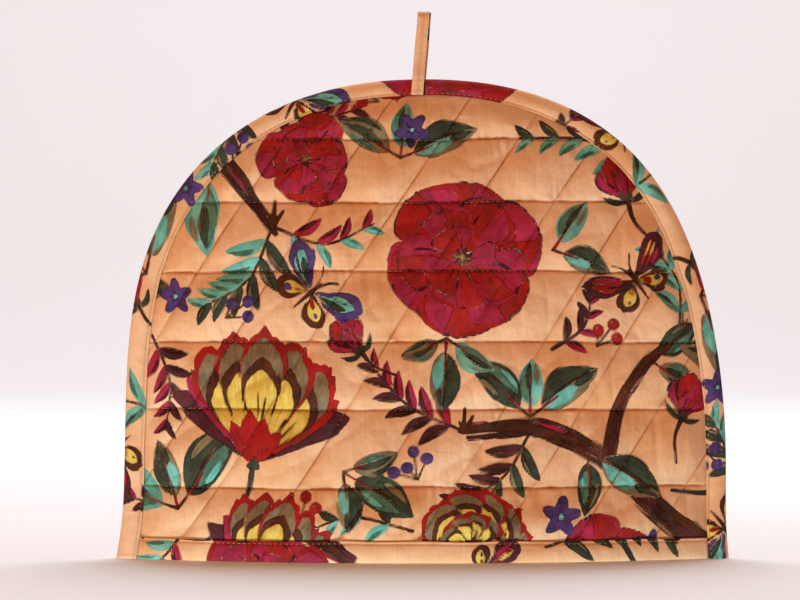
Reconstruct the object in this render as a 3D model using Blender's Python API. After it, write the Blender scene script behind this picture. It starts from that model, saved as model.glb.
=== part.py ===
"""A quilted cotton tea cosy that stands on its open hem.

Two padded, quilted panels are joined along an arch. A folded strip binds the arch, a folded strip
binds each panel's lower edge, and a small loop of the same strip straddles the top of the arch.
Lengths are in metres. +X runs along the hem, -Y is the way the front panel faces, +Z is up, and the
origin is the middle of the hem's opening, on the surface that the hem rests on.
"""

import math

import bmesh
import bpy
import numpy as np
from mathutils import Vector

# The arch as seen from the front: |x / a| ** POWER_X + (z / b) ** POWER_Z = 1
HALF_WIDTH = 0.173
HEIGHT = 0.275
POWER_X = 2.2
POWER_Z = 3.65
HEM_FLARE = 0.003
FLARE_HEIGHT = 0.040
SWAY = 0.0016
SWAY_WAVE = 0.245

# Cloth thicknesses, and the gap left between pieces that touch
STRIP = 0.0013
PAD_AT_SEAM = 0.0022
PAD_AT_STITCH = 0.0030
PAD_AT_CROWN = 0.0085
PUFF_OUTWARDS = 0.65
PUFF_RISE = 0.013
LINING_FADE = 0.003
GAP = 0.0003

# Bindings
BINDING_AT_SIDE = 0.0115
BINDING_AT_TOP = 0.0092
HEM_BINDING = 0.0120
EDGE_ROUND = 0.0010

# The arch binding's half thickness where its fold starts to round and at the fold itself, as shares of
# what it is on the panels
FOLD_STARTS = 0.94
FOLD_CROWN = 0.45

# Inset of the line, just inside the arch's binding, from which the panels swell
SEAM_X = BINDING_AT_SIDE + GAP
SEAM_Z = BINDING_AT_TOP + GAP

# Half the space between the two panels: in the arch's seam, and where the hem bindings end
SEAM_SPACE = 0.00015
HEM_SPACE = 0.00185
HEM_SPACE_FULL = 0.014
HEM_SPACE_GONE = 0.036

# The bulge that opens the hem
BULGE_POWER_X = 2.3
BULGE_POWER_Z = 1.35
BULGE_TAPER = 0.9

# Unevenness of hand-cut, hand-stuffed cloth: shares of the bulge and puff, and waves a metre in radians
UNEVEN_BULGE = 0.025
DRIFT_X = 24.0
DRIFT_Z = 31.0
UNEVEN_PUFF = 0.12
PUFF_WAVE_X = 47.0
PUFF_WAVE_Z = 53.0

# Quilting: sewn rows at these heights, and slanting rows that cross them
QUILT_ROWS = (0.042, 0.086, 0.124, 0.164, 0.204, 0.240)
SLANT = 0.65
SLANT_PITCH = 0.0445
SLANT_START = -0.0114
SLANT_DEPTH = 0.62
CHANNEL_ROUND = 0.55

# The loop at the top
LOOP_WIDTH = 0.0078
LOOP_RISE = 0.039
LOOP_BASE_X = -0.0026
LOOP_LEAN = 0.082
LOOP_HALF_GAP = 0.0026
LOOP_NECK = 0.012
LOOP_FOOT_STEPS = (-BINDING_AT_TOP, -0.0042, 0.0005, 0.004, 0.008)

# How finely the cloth is divided
COLUMNS = 36
STATION_STEP = 0.0105
ARC_SAMPLES = 4000
LOOP_LEG_STEPS = 3
LOOP_BEND_STEPS = 6
SMOOTH_BELOW = math.radians(50.0)

# What differs between the two panels. A panel's side is -1 where it faces -Y.
PANELS = {
    "front": {"side": -1, "depth": 0.040, "skew": 0.05, "phase": 0.4},
    "back": {"side": 1, "depth": 0.037, "skew": -0.04, "phase": 2.1},
}

COLOURS = {
    "quilted_print": (0.86, 0.60, 0.40, 1.0),
    "binding_print": (0.84, 0.57, 0.38, 1.0),
    "loop_print": (0.88, 0.62, 0.42, 1.0),
}
CLOTH_ROUGHNESS = 0.85


def smooth_step(low, high, value):
    share = min(1.0, max(0.0, (value - low) / (high - low)))
    return share * share * (3.0 - 2.0 * share)


def arch_point(angle, inset_x, inset_z):
    """A point of the arch's right half. The angle runs from 0 at the hem to a right angle at the top."""
    x = (HALF_WIDTH - inset_x) * max(0.0, math.cos(angle)) ** (2.0 / POWER_X)
    z = (HEIGHT - inset_z) * max(0.0, math.sin(angle)) ** (2.0 / POWER_Z)
    return x, z


def seam_half_width(z):
    """Half the width inside the binding at a height."""
    share = min(1.0, z / (HEIGHT - SEAM_Z))
    return (HALF_WIDTH - SEAM_X) * (1.0 - share**POWER_Z) ** (1.0 / POWER_X)


def seam_height(x):
    """The height of the binding's inner edge above a place on the hem."""
    share = min(1.0, abs(x) / (HALF_WIDTH - SEAM_X))
    return (HEIGHT - SEAM_Z) * (1.0 - share**POWER_X) ** (1.0 / POWER_Z)


def distance_from_seam(x, z):
    across = max(0.0, seam_half_width(z) - abs(x))
    above = max(0.0, seam_height(x) - z)
    return across * above / max(1e-9, math.hypot(across, above))


def angle_at(z):
    """The arch's angle where the binding's inner edge is at a height."""
    share = min(1.0, z / (HEIGHT - SEAM_Z))
    return math.asin(share ** (POWER_Z / 2.0))


def arch_angles():
    """Angles from the hem to the top: one at each sewn row, with even steps between."""
    levels = [STRIP + GAP, HEM_BINDING + GAP, *QUILT_ROWS, HEIGHT - SEAM_Z]
    fine = np.array([angle_at(z) for z in np.linspace(levels[0], levels[-1], ARC_SAMPLES)])
    points = np.array([arch_point(a, SEAM_X, SEAM_Z) for a in fine])
    along = np.concatenate([[0.0], np.cumsum(np.linalg.norm(np.diff(points, axis=0), axis=1))])
    marks = np.interp([angle_at(z) for z in levels], fine, along)
    angles = [fine[0]]
    for start, end in zip(marks[:-1], marks[1:]):
        steps = max(1, round((end - start) / STATION_STEP))
        angles += [np.interp(start + (end - start) * n / steps, along, fine) for n in range(1, steps + 1)]
    return [float(a) for a in angles]


def lay(x, y, z):
    """Places a point of the even arch where the real one lies: it flares at the hem and sways."""
    flare = HEM_FLARE * max(0.0, 1.0 - z / FLARE_HEIGHT) ** 2
    sway = SWAY * math.sin(2.0 * math.pi * z / SWAY_WAVE)
    return Vector((x * (1.0 + flare / HALF_WIDTH) + sway, y, z))


def half_space(z):
    """Half the space between the panels in the seam, wider where the hem bindings meet it."""
    return HEM_SPACE + (SEAM_SPACE - HEM_SPACE) * smooth_step(HEM_SPACE_FULL, HEM_SPACE_GONE, z)


def bulge(panel, x, z):
    """How far the hem's opening pushes a panel out from the seam's plane."""
    half = seam_half_width(z)
    if half < 1e-6:
        return 0.0
    across = max(-1.0, min(1.0, x / half))
    across += panel["skew"] * (1.0 - across * across)
    rise = max(0.0, 1.0 - (z / (HEIGHT - SEAM_Z)) ** BULGE_POWER_Z)
    drift = 1.0 + UNEVEN_BULGE * math.sin(DRIFT_X * x + DRIFT_Z * z + panel["phase"])
    return panel["depth"] * rise**BULGE_TAPER * max(0.0, 1.0 - abs(across) ** BULGE_POWER_X) * drift


def channel(z):
    """The roundness of the padding between two sewn rows, from 0 at a row to 1 midway."""
    edges = [HEM_BINDING + GAP, *QUILT_ROWS, HEIGHT - SEAM_Z]
    for low, high in zip(edges[:-1], edges[1:]):
        if low <= z < high:
            return math.sin(math.pi * (z - low) / (high - low)) ** CHANNEL_ROUND
    return 0.0


def padding(panel, x, z):
    """The panel's thickness beyond what it has in the seam."""
    rise = math.sin(0.5 * math.pi * min(1.0, distance_from_seam(x, z) / PUFF_RISE))
    slant_x = -panel["side"] * x
    slant = abs(math.sin(math.pi * (slant_x - SLANT * z - SLANT_START) / SLANT_PITCH)) ** CHANNEL_ROUND
    crossed = 1.0 - SLANT_DEPTH * (1.0 - slant)
    uneven = 1.0 + UNEVEN_PUFF * math.sin(PUFF_WAVE_X * x + panel["phase"]) * math.cos(PUFF_WAVE_Z * z)
    full = (PAD_AT_CROWN - PAD_AT_STITCH) * channel(z) * crossed * uneven
    return rise * (PAD_AT_STITCH - PAD_AT_SEAM + full)


def outer_y(panel, x, z):
    """Distance of a panel's printed face from the seam's plane."""
    return half_space(z) + bulge(panel, x, z) + PAD_AT_SEAM + PUFF_OUTWARDS * padding(panel, x, z)


def inner_y(panel, x, z):
    """Distance of a panel's lining from the seam's plane. Its puffs fade where the linings meet."""
    out = bulge(panel, x, z)
    puff = (1.0 - PUFF_OUTWARDS) * padding(panel, x, z)
    return half_space(z) + out - puff * out / (out + LINING_FADE)


def thick_sheet(name, slot, columns, rows, first_face, second_face):
    """A closed sheet of cloth: a grid laid on its first face, and copied to its second face."""
    bm = bmesh.new()
    column_of = bm.verts.layers.int.new("column")
    row_of = bm.verts.layers.int.new("row")
    bmesh.ops.create_grid(bm, x_segments=columns, y_segments=rows, size=1.0)
    for vert in bm.verts:
        vert[column_of] = round((vert.co.x + 1.0) / 2.0 * columns)
        vert[row_of] = round((vert.co.y + 1.0) / 2.0 * rows)
        vert.co = first_face(vert[column_of], vert[row_of])
    bmesh.ops.remove_doubles(bm, verts=bm.verts, dist=1e-6)
    made = bmesh.ops.extrude_face_region(bm, geom=bm.faces[:], use_keep_orig=True)
    for vert in made["geom"]:
        if isinstance(vert, bmesh.types.BMVert):
            vert.co = second_face(vert[column_of], vert[row_of])
    bmesh.ops.recalc_face_normals(bm, faces=bm.faces)
    mesh = bpy.data.meshes.new(name)
    bm.to_mesh(mesh)
    bm.free()
    mesh.shade_smooth()
    mesh.set_sharp_from_angle(angle=SMOOTH_BELOW)
    mesh.materials.append(bpy.data.materials[slot])
    piece = bpy.data.objects.new(name, mesh)
    bpy.data.collections["Tea cosy"].objects.link(piece)
    return piece


def make_panel(name, panel, angles):
    """A quilted panel. Its first and last columns lie inside the arch's binding, the rest between."""
    last = COLUMNS + 2

    def place(column, row, depth):
        angle = angles[row]
        if column in (0, last):
            x, z = arch_point(angle, STRIP + GAP, STRIP + GAP)
            x = -x if column == 0 else x
        else:
            x, z = arch_point(angle, SEAM_X, SEAM_Z)
            x *= 2.0 * (column - 1) / COLUMNS - 1.0
        return lay(x, panel["side"] * depth(panel, x, z), z)

    return thick_sheet(
        name,
        "quilted_print",
        last,
        len(angles) - 1,
        lambda column, row: place(column, row, outer_y),
        lambda column, row: place(column, row, inner_y),
    )


def make_arch_binding(angles):
    """The strip folded over both panels' edges, from one hem corner over the top to the other."""
    stations = [(-1, a) for a in angles] + [(1, a) for a in reversed(angles[:-1])]

    def place(station, inset, y):
        sign, angle = stations[station]
        x, z = arch_point(angle, *inset)
        z = 0.0 if angle == angles[0] else z
        return lay(sign * x, y, z)

    def leg_y(station):
        x, z = arch_point(stations[station][1], STRIP, STRIP)
        return half_space(z) + PAD_AT_SEAM + GAP

    whole = (BINDING_AT_SIDE, BINDING_AT_TOP)
    half = (BINDING_AT_SIDE / 2.0, BINDING_AT_TOP / 2.0)
    rounded = (EDGE_ROUND, EDGE_ROUND)
    lined = (STRIP, STRIP)
    outside = [(whole, 1.0), (half, 1.0), (rounded, FOLD_STARTS), ((0.0, 0.0), FOLD_CROWN)]
    inside = [(whole, 1.0), (half, 1.0), (lined, 1.0), (lined, FOLD_CROWN)]

    def face(column, station, path, thickness):
        inset, share = path[min(column, 2 * len(path) - 1 - column)]
        side = -1 if column < len(path) else 1
        return place(station, inset, side * share * (leg_y(station) + thickness))

    return thick_sheet(
        "arch_binding",
        "binding_print",
        2 * len(outside) - 1,
        len(stations) - 1,
        lambda column, row: face(column, row, outside, STRIP),
        lambda column, row: face(column, row, inside, 0.0),
    )


def make_hem_binding(name, panel):
    """The strip folded under a panel's lower edge. Its fold is flat where it rests."""
    half = HALF_WIDTH - SEAM_X
    outside_heights = (HEM_BINDING, HEM_BINDING / 2.0, EDGE_ROUND, 0.0)
    inside_heights = (HEM_BINDING, HEM_BINDING / 2.0, STRIP, STRIP)
    last = 2 * len(outside_heights) - 1

    def place(column, row, heights, thickness):
        x = half * (2.0 * row / COLUMNS - 1.0)
        step = min(column, last - column)
        z = heights[step]
        cloth_z = max(z, STRIP + GAP)
        tuck = EDGE_ROUND if step == len(heights) - 1 else 0.0
        if column == step:
            y = outer_y(panel, x, cloth_z) + GAP + thickness - tuck
        else:
            y = inner_y(panel, x, cloth_z) - GAP - thickness + tuck
        return lay(x, panel["side"] * y, z)

    return thick_sheet(
        name,
        "binding_print",
        last,
        COLUMNS,
        lambda column, row: place(column, row, outside_heights, STRIP),
        lambda column, row: place(column, row, inside_heights, 0.0),
    )


def loop_path():
    """The loop's inner face as (y, z, outward direction), from its front end over the top to its back end."""
    on_binding = SEAM_SPACE + PAD_AT_SEAM + GAP + STRIP + GAP
    crown = HEIGHT + LOOP_RISE - STRIP - LOOP_HALF_GAP
    neck = HEIGHT + LOOP_NECK
    heights = [HEIGHT + step for step in LOOP_FOOT_STEPS]
    heights += [neck + (crown - neck) * n / LOOP_LEG_STEPS for n in range(LOOP_LEG_STEPS + 1)]
    narrowing = on_binding - LOOP_HALF_GAP
    leg = [(narrowing * smooth_step(HEIGHT, neck, z) - on_binding, z) for z in heights]
    bend = [math.pi * (1.0 - n / LOOP_BEND_STEPS) for n in range(1, LOOP_BEND_STEPS)]
    over = [(LOOP_HALF_GAP * math.cos(a), crown + LOOP_HALF_GAP * math.sin(a)) for a in bend]
    points = leg + over + [(-y, z) for y, z in reversed(leg)]
    path = []
    for n, (y, z) in enumerate(points):
        before = points[max(0, n - 1)]
        after = points[min(len(points) - 1, n + 1)]
        tangent = Vector((after[0] - before[0], after[1] - before[1])).normalized()
        path.append((y, z, Vector((-tangent.y, tangent.x))))
    return path


def make_loop():
    """The hanging loop: a narrow folded strip whose two ends are sewn to the binding's faces."""
    path = loop_path()

    def place(column, row, thickness):
        y, z, out = path[row]
        lean = LOOP_BASE_X + LOOP_LEAN * (z - HEIGHT + BINDING_AT_TOP)
        across = LOOP_WIDTH * (column / 2.0 - 0.5)
        return Vector((lean + across, y + out.x * thickness, z + out.y * thickness))

    return thick_sheet(
        "hanging_loop",
        "loop_print",
        2,
        len(path) - 1,
        lambda column, row: place(column, row, STRIP),
        lambda column, row: place(column, row, 0.0),
    )


def make_materials():
    for slot, colour in COLOURS.items():
        material = bpy.data.materials.new(slot)
        material.use_nodes = True
        shader = material.node_tree.nodes["Principled BSDF"]
        shader.inputs["Base Color"].default_value = colour
        shader.inputs["Roughness"].default_value = CLOTH_ROUGHNESS
        shader.inputs["Metallic"].default_value = 0.0


def main():
    for old in list(bpy.data.objects):
        bpy.data.objects.remove(old, do_unlink=True)
    collection = bpy.data.collections.new("Tea cosy")
    bpy.context.scene.collection.children.link(collection)
    make_materials()
    angles = arch_angles()
    for name, panel in PANELS.items():
        make_panel(f"{name}_panel", panel, angles)
        make_hem_binding(f"{name}_hem_binding", panel)
    make_arch_binding(angles)
    make_loop()


main()
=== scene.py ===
# %% [markdown]
# # A quilted cotton tea cosy
#
# A tea cosy is a padded cover that keeps a teapot warm. This one is two quilted panels of printed
# cotton, joined along an arch by a folded strip, with a folded strip round the hem and a small loop
# to hang it by. The lesson makes each cloth piece as a surface worked out with numpy, prints the
# cloth with a painted flower design, sews it, and sets it in soft studio light.
#
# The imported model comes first. It is the fixed frame that every piece here is measured from.

# %% Load the frame
import math

import bmesh
import bpy
import mathutils
import numpy as np
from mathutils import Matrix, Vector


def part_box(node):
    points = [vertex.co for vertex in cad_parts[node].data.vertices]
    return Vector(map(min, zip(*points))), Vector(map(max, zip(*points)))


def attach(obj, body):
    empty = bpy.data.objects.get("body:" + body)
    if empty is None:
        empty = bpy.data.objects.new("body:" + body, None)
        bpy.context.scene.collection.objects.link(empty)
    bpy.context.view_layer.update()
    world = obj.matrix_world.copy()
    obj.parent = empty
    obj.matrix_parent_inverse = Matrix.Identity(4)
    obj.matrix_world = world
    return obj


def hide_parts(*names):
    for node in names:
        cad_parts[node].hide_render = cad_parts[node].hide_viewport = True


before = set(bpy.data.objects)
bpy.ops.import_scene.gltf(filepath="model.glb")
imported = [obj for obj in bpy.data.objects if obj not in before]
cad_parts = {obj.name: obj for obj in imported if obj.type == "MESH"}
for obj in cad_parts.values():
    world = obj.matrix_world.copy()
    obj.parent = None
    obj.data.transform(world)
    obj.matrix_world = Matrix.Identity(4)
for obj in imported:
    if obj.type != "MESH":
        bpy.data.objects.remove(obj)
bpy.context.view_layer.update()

# %% [markdown]
# ## The sizes
#
# The panels and strips share a few sizes: the arch, the bindings' widths, how far the hem stands
# open and where the quilting is sewn. The outer ones are read from the frame, so that they can't
# drift from it. The rest repeat what the maker of the frame used, in metres.

# %% Driving sizes
HEM_FLARE = 0.003
ARCH_LOW, ARCH_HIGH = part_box("arch_binding")
HEIGHT = ARCH_HIGH.z
HALF_WIDTH = 0.5 * (ARCH_HIGH.x - ARCH_LOW.x) - HEM_FLARE
LOOP_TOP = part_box("hanging_loop")[1].z

POWER_X = 2.2
POWER_Z = 3.65
FLARE_HEIGHT = 0.040
SWAY = 0.0016
SWAY_WAVE = 0.245

GAP = 0.0003
STRIP = 0.0013
CLOTH = 0.0004
BINDING_AT_SIDE = 0.0115
BINDING_AT_TOP = 0.0092
HEM_BINDING = 0.0120
SEAM_X = BINDING_AT_SIDE + GAP
SEAM_Z = BINDING_AT_TOP + GAP

PAD_AT_SEAM = 0.0022
PAD_AT_STITCH = 0.0030
PAD_AT_CROWN = 0.0096
PUFF_OUTWARDS = 0.76
PUFF_RISE = 0.013
LINING_FADE = 0.003

SEAM_SPACE = 0.00015
HEM_SPACE = 0.00185
HEM_SPACE_FULL = 0.014
HEM_SPACE_GONE = 0.036
BULGE_POWER_X = 2.3
BULGE_POWER_Z = 1.35
BULGE_TAPER = 0.9
UNEVEN_BULGE = 0.025
DRIFT_X = 24.0
DRIFT_Z = 31.0

QUILT_ROWS = (0.042, 0.086, 0.124, 0.164, 0.204, 0.240)
SLANT = 0.65
SLANT_PITCH = 0.0445
SLANT_START = -0.0114
SLANT_DEPTH = 0.62

PANELS = {
    "front": {"side": -1, "depth": 0.040, "skew": 0.05, "phase": 0.4, "seed": 11, "cut": (0.0, 0.0)},
    "back": {"side": 1, "depth": 0.037, "skew": -0.04, "phase": 2.1, "seed": 29, "cut": (0.205, 0.120)},
}
print("arch in mm:", round(2000.0 * HALF_WIDTH), "wide,", round(1000.0 * HEIGHT), "high")

# %% [markdown]
# ## Small tools
#
# Cloth is never even, so most pieces need smooth noise. It is made by blending random numbers that
# stand at whole-number places, which gives the same result each run because the numbers are seeded.

# %% Smooth steps and noise
NOISE_CELLS = 64


def smooth_step(low, high, value):
    """0 below low, 1 above high, and the curve 3s^2 - 2s^3 between, where s is the share of the way."""
    share = np.clip((value - low) / (high - low), 0.0, 1.0)
    return share * share * (3.0 - 2.0 * share)


def soft_noise(u, v, seed):
    """Smooth noise from -1 to 1: seeded numbers at whole u and v, blended along smooth steps between."""
    table = np.random.default_rng(seed).uniform(-1.0, 1.0, (NOISE_CELLS, NOISE_CELLS))
    u, v = np.broadcast_arrays(np.asarray(u, float), np.asarray(v, float))
    column = np.floor(u).astype(int)
    row = np.floor(v).astype(int)
    across = smooth_step(0.0, 1.0, u - column)
    up = smooth_step(0.0, 1.0, v - row)
    left, right = column % NOISE_CELLS, (column + 1) % NOISE_CELLS
    low, high = row % NOISE_CELLS, (row + 1) % NOISE_CELLS
    below = table[low, left] * (1.0 - across) + table[low, right] * across
    above = table[high, left] * (1.0 - across) + table[high, right] * across
    return below + (above - below) * up


# %% [markdown]
# A surface is a grid of points, and neighbours on the grid share a face. One helper numbers the
# faces, and another turns points, faces, cloth coordinates and inks into a mesh. The cloth
# coordinates are a UV map in metres, so that the weave has its real size on every piece.

# %% Grids and meshes
CLOTH_MAP = "cloth"
MERGE = 1e-6
SMOOTH_BELOW = math.radians(55.0)

collection = bpy.data.collections.new("Dressed tea cosy")
bpy.context.scene.collection.children.link(collection)


def add_object(name, data, where=collection):
    """A new object for a mesh, a light or a camera, in a collection."""
    thing = bpy.data.objects.new(name, data)
    where.objects.link(thing)
    return thing


def turn_outwards(mesh):
    """Merges the points that coincide, and then turns all faces outwards."""
    bm = bmesh.new()
    bm.from_mesh(mesh)
    bmesh.ops.remove_doubles(bm, verts=bm.verts, dist=MERGE)
    bmesh.ops.recalc_face_normals(bm, faces=bm.faces)
    bm.to_mesh(mesh)
    bm.free()


def grid_faces(rows, columns):
    """Corner numbers of the four-sided faces of a grid whose points are numbered row by row."""
    number = np.arange(rows * columns).reshape(rows, columns)
    corners = [number[:-1, :-1], number[:-1, 1:], number[1:, 1:], number[1:, :-1]]
    return np.stack(corners, axis=-1).reshape(-1, 4)


def cloth_mesh(name, points, faces, cloth_uv, fields, brush, material):
    """A mesh object from points (n, 3), a list of faces, cloth coordinates (n, 2), values at the points
    {name: (n,)} and brush coordinates (n, 2)."""
    mesh = bpy.data.meshes.new(name)
    mesh.from_pydata(points.reshape(-1, 3), [], faces)
    corners = np.zeros(len(mesh.loops), np.int32)
    mesh.loops.foreach_get("vertex_index", corners)
    corner_uv = cloth_uv[corners].astype(np.float32).ravel()
    mesh.uv_layers.new(name=CLOTH_MAP).uv.foreach_set("vector", corner_uv)
    for field, values in fields.items():
        mesh.attributes.new(field, "FLOAT", "POINT").data.foreach_set("value", values.astype(np.float32))
    flat = np.column_stack([brush, np.zeros(len(brush))]).astype(np.float32)
    mesh.attributes.new("brush", "FLOAT_VECTOR", "POINT").data.foreach_set("vector", flat.ravel())
    turn_outwards(mesh)
    mesh.shade_smooth()
    mesh.set_sharp_from_angle(angle=SMOOTH_BELOW)
    mesh.materials.append(material)
    return add_object(name, mesh)


# %% [markdown]
# ## The print
#
# The cloth is a painted flower design in crimson, magenta, brown, mustard, greens and violet on
# apricot. An image could hold it, but a drawn design stays crisp at any distance and needs no file.
# So each ink is a field over the cloth: at every point it holds how far inside that ink's shapes
# the point lies, in metres, and below zero outside them. The shader later cuts each field at zero,
# which gives sharp edges even between the mesh's points.
#
# A shape is printed over what is there: its own ink takes the larger depth, and every other ink is
# cut away where the shape lies, with a hair of overlap as real printers leave.

# %% Printing one shape
INKS = ("taupe", "mustard", "turquoise", "leaf", "green", "magenta", "crimson", "violet", "plum", "brown")
REPEAT_S = 0.42
REPEAT_T = 0.36
TRAP = 0.0006
BARE = -0.004
WET = 0.0012
BRISTLES_LONG = 0.016
BRISTLES_WIDE = 0.0021
FRAY = 0.0005


def blank_cloth(s, t):
    """Unprinted cloth at cloth coordinates s and t: every ink's field far below zero."""
    s, t = s.ravel(), t.ravel()
    fields = {ink: np.full(s.shape, BARE) for ink in INKS}
    return {"s": s, "t": t, "inks": fields, "brush": np.column_stack([s, t]), "shapes": 0}


def nearby(cloth, place, turn, reach):
    """Which points lie within reach of a place, and where: along the direction turn, and to its left.

    The design repeats, so each difference is taken to the nearest repeat of the place.
    """
    ds = (cloth["s"] - place[0] + 0.5 * REPEAT_S) % REPEAT_S - 0.5 * REPEAT_S
    dt = (cloth["t"] - place[1] + 0.5 * REPEAT_T) % REPEAT_T - 0.5 * REPEAT_T
    picked = np.flatnonzero(ds * ds + dt * dt < reach * reach)
    ds, dt = ds[picked], dt[picked]
    c, s = math.cos(turn), math.sin(turn)
    return picked, c * ds + s * dt, c * dt - s * ds


def lay_ink(cloth, ink, picked, depth, along, across, fray=FRAY):
    """Prints a shape over what is there. Noise drawn out along the brush frays its ends into fingers,
    and the brush's own coordinates are kept for the shader's streaks."""
    cloth["shapes"] += 1
    phase = 0.618 * cloth["shapes"] % 1.0
    depth = depth + fray * soft_noise(along / BRISTLES_LONG + 40.0 * phase, across / BRISTLES_WIDE, 5)
    for name, field in cloth["inks"].items():
        if name == ink:
            field[picked] = np.maximum(field[picked], depth)
        else:
            field[picked] = np.minimum(field[picked], TRAP - depth)
    wet = depth > -WET
    cloth["brush"][picked[wet]] = np.column_stack([along[wet] + phase, across[wet]])


# %% [markdown]
# Three kinds of brush mark make every motif. A blade is a leaf or a petal, painted with several marks
# of different inks inside one outline. A stroke follows a line. A blob is a round with lobes.

# %% The three brush marks
PATH_STEPS = 7
LEAF_ROUND = 0.8
MARK_ROUND = 0.55


def blade(cloth, place, turn, length, width, marks, bend=0.0, fullness=0.8, fray=FRAY, notch=0.0):
    """A leaf or petal. Its half width is half of width times sin(pi s^fullness)^0.8 along the share s
    of its length, about a middle line that bows by bend times the length. Each mark is an ink, the
    place of its middle and its breadth in half widths, and the shares where it starts and ends."""
    picked, along, across = nearby(cloth, place, turn, 1.15 * length)
    share = np.clip(along / length, 0.0, 1.0)
    side = across - bend * length * np.sin(np.pi * share)
    half = 0.5 * width * np.sin(np.pi * share**fullness) ** LEAF_ROUND
    tip = 1.0 - notch * np.cos(3.0 * np.pi * side / width) ** 2
    for ink, middle, breadth, start, end in marks:
        part = np.clip((share - start) / (end - start), 0.0, 1.0)
        taper = 1.0 if end - start == 1.0 else np.sin(np.pi * part) ** MARK_ROUND
        depth = breadth * taper * half - np.abs(side - middle * half)
        ends = np.minimum(along - start * length, end * tip * length - along)
        lay_ink(cloth, ink, picked, np.minimum(depth, ends + 0.0003), along, side, fray)


def smooth_path(points):
    """Points along the Catmull-Rom curve through the given ones."""
    p = np.array(points, float)
    p = np.vstack([2.0 * p[0] - p[1], p, 2.0 * p[-1] - p[-2]])
    u = np.linspace(0.0, 1.0, PATH_STEPS, endpoint=False)[:, None]
    spans = []
    for a, b, c, d in zip(p[:-3], p[1:-2], p[2:-1], p[3:]):
        curve = 2.0 * b + (c - a) * u + (2.0 * a - 5.0 * b + 4.0 * c - d) * u**2
        spans.append(0.5 * (curve + (3.0 * b - a - 3.0 * c + d) * u**3))
    return np.vstack([*spans, p[-2:-1]])


def stroke(cloth, ink, points, widths, fray=0.0002):
    """A brushed line through points. Its depth is half the width there, less the distance to it."""
    path = smooth_path(points)
    radii = 0.5 * np.interp(np.linspace(0.0, 1.0, len(path)), np.linspace(0.0, 1.0, len(widths)), widths)
    middle = 0.5 * (path.min(0) + path.max(0))
    reach = 0.5 * np.linalg.norm(path.max(0) - path.min(0)) + 2.0 * radii.max() + 0.002
    picked, px, py = nearby(cloth, middle, 0.0, reach)
    depth = np.full(len(picked), 10.0 * BARE)
    along, across = np.zeros(len(picked)), np.zeros(len(picked))
    gone = 0.0
    for start, end, r0, r1 in zip(path[:-1] - middle, path[1:] - middle, radii[:-1], radii[1:]):
        run = end - start
        length = max(float(np.hypot(*run)), 1e-9)
        forward = ((px - start[0]) * run[0] + (py - start[1]) * run[1]) / length
        sideways = ((py - start[1]) * run[0] - (px - start[0]) * run[1]) / length
        held = np.clip(forward, 0.0, length)
        here = r0 + (r1 - r0) * held / length - np.hypot(forward - held, sideways)
        nearer = here > depth
        depth = np.where(nearer, here, depth)
        along = np.where(nearer, gone + held, along)
        across = np.where(nearer, sideways, across)
        gone += length
    lay_ink(cloth, ink, picked, depth, along, across, fray)


def blob(cloth, ink, place, radius, lobes=0, wave=0.0, turn=0.0, fray=0.0003):
    """A round with lobes: its edge is radius times 1 + wave cos(lobes a) at the angle a."""
    picked, along, across = nearby(cloth, place, turn, 1.5 * radius + 0.001)
    edge = radius * (1.0 + wave * np.cos(lobes * np.arctan2(across, along)))
    lay_ink(cloth, ink, picked, edge - np.hypot(along, across), along, across, fray)


def polar(place, angle, distance):
    return place[0] + distance * math.cos(angle), place[1] + distance * math.sin(angle)


def tuft(cloth, ink, place, turn, spread, count, length, width):
    """A fan of short tapering strokes round a place."""
    for n in range(count):
        angle = turn + spread * (n / max(1, count - 1) - 0.5)
        reach = length * (0.8 + 0.35 * math.sin(2.4 * n))
        stroke(cloth, ink, [place, polar(place, angle + 0.1, reach)], (width, 0.5 * width), 0.0001)


# %% [markdown]
# The motifs are put together from those marks. All are ordinary garden ones: peonies, tulips,
# rosebuds, butterflies, leafy sprays, berries and branches. A leaf is a grey or green wash with a
# dark side, a turquoise light and a rib laid over it wet, so its edges stay loose. A petal gets a
# shadow on one side only, because an outline all round would look like a drawing, not like paint.

# %% Petals and flowers
WHOLE = (0.0, 1.0, 0.0, 1.0)
SHADOW_SHIFT = 0.0006
PETAL_FULL = 1.7
BANDED_FULL = 2.2


def petal(cloth, place, turn, length, width, ink, bend):
    """A broad petal with a crescent of shadow on its left and a few lines of its folds."""
    behind = polar(place, turn + 0.5 * math.pi, SHADOW_SHIFT)
    blade(cloth, behind, turn, 1.01 * length, width, (("plum", *WHOLE),), bend, PETAL_FULL, 0.0006, 0.04)
    second = "magenta" if ink == "crimson" else "crimson"
    folds = (("plum", 0.35, 0.035, 0.25, 0.7), ("plum", -0.3, 0.03, 0.35, 0.66))
    marks = ((ink, *WHOLE), (second, -0.45, 0.40, 0.20, 0.96), *folds)
    blade(cloth, place, turn, length, width, marks, bend, PETAL_FULL, 0.0007, 0.05)


def peony(cloth, place, radius, turn, front="crimson", back="magenta"):
    """Three uneven rings of broad overlapping petals round a small dark heart."""
    rings = ((6, 0.08, 0.92, 0.98, 0.0), (5, 0.04, 0.70, 0.80, 0.4), (3, 0.0, 0.48, 0.60, 0.7))
    for ring, (count, start, length, width, offset) in enumerate(rings):
        for n in range(count):
            angle = turn + 2.0 * math.pi * (n + offset) / count + 0.14 * math.sin(2.3 * n + ring)
            long = radius * length * (1.0 + 0.14 * math.sin(3.1 * n + 2.0 * ring + turn))
            ink = back if (2 * n + ring) % 3 == 0 else front
            foot = polar(place, angle, radius * start)
            petal(cloth, foot, angle, long, radius * width, ink, 0.06 * math.sin(2.0 * n + turn))
    blob(cloth, "plum", place, 0.10 * radius, 7, 0.25, turn)
    tuft(cloth, "mustard", place, turn, 5.2, 9, 0.13 * radius, 0.0013)


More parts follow.
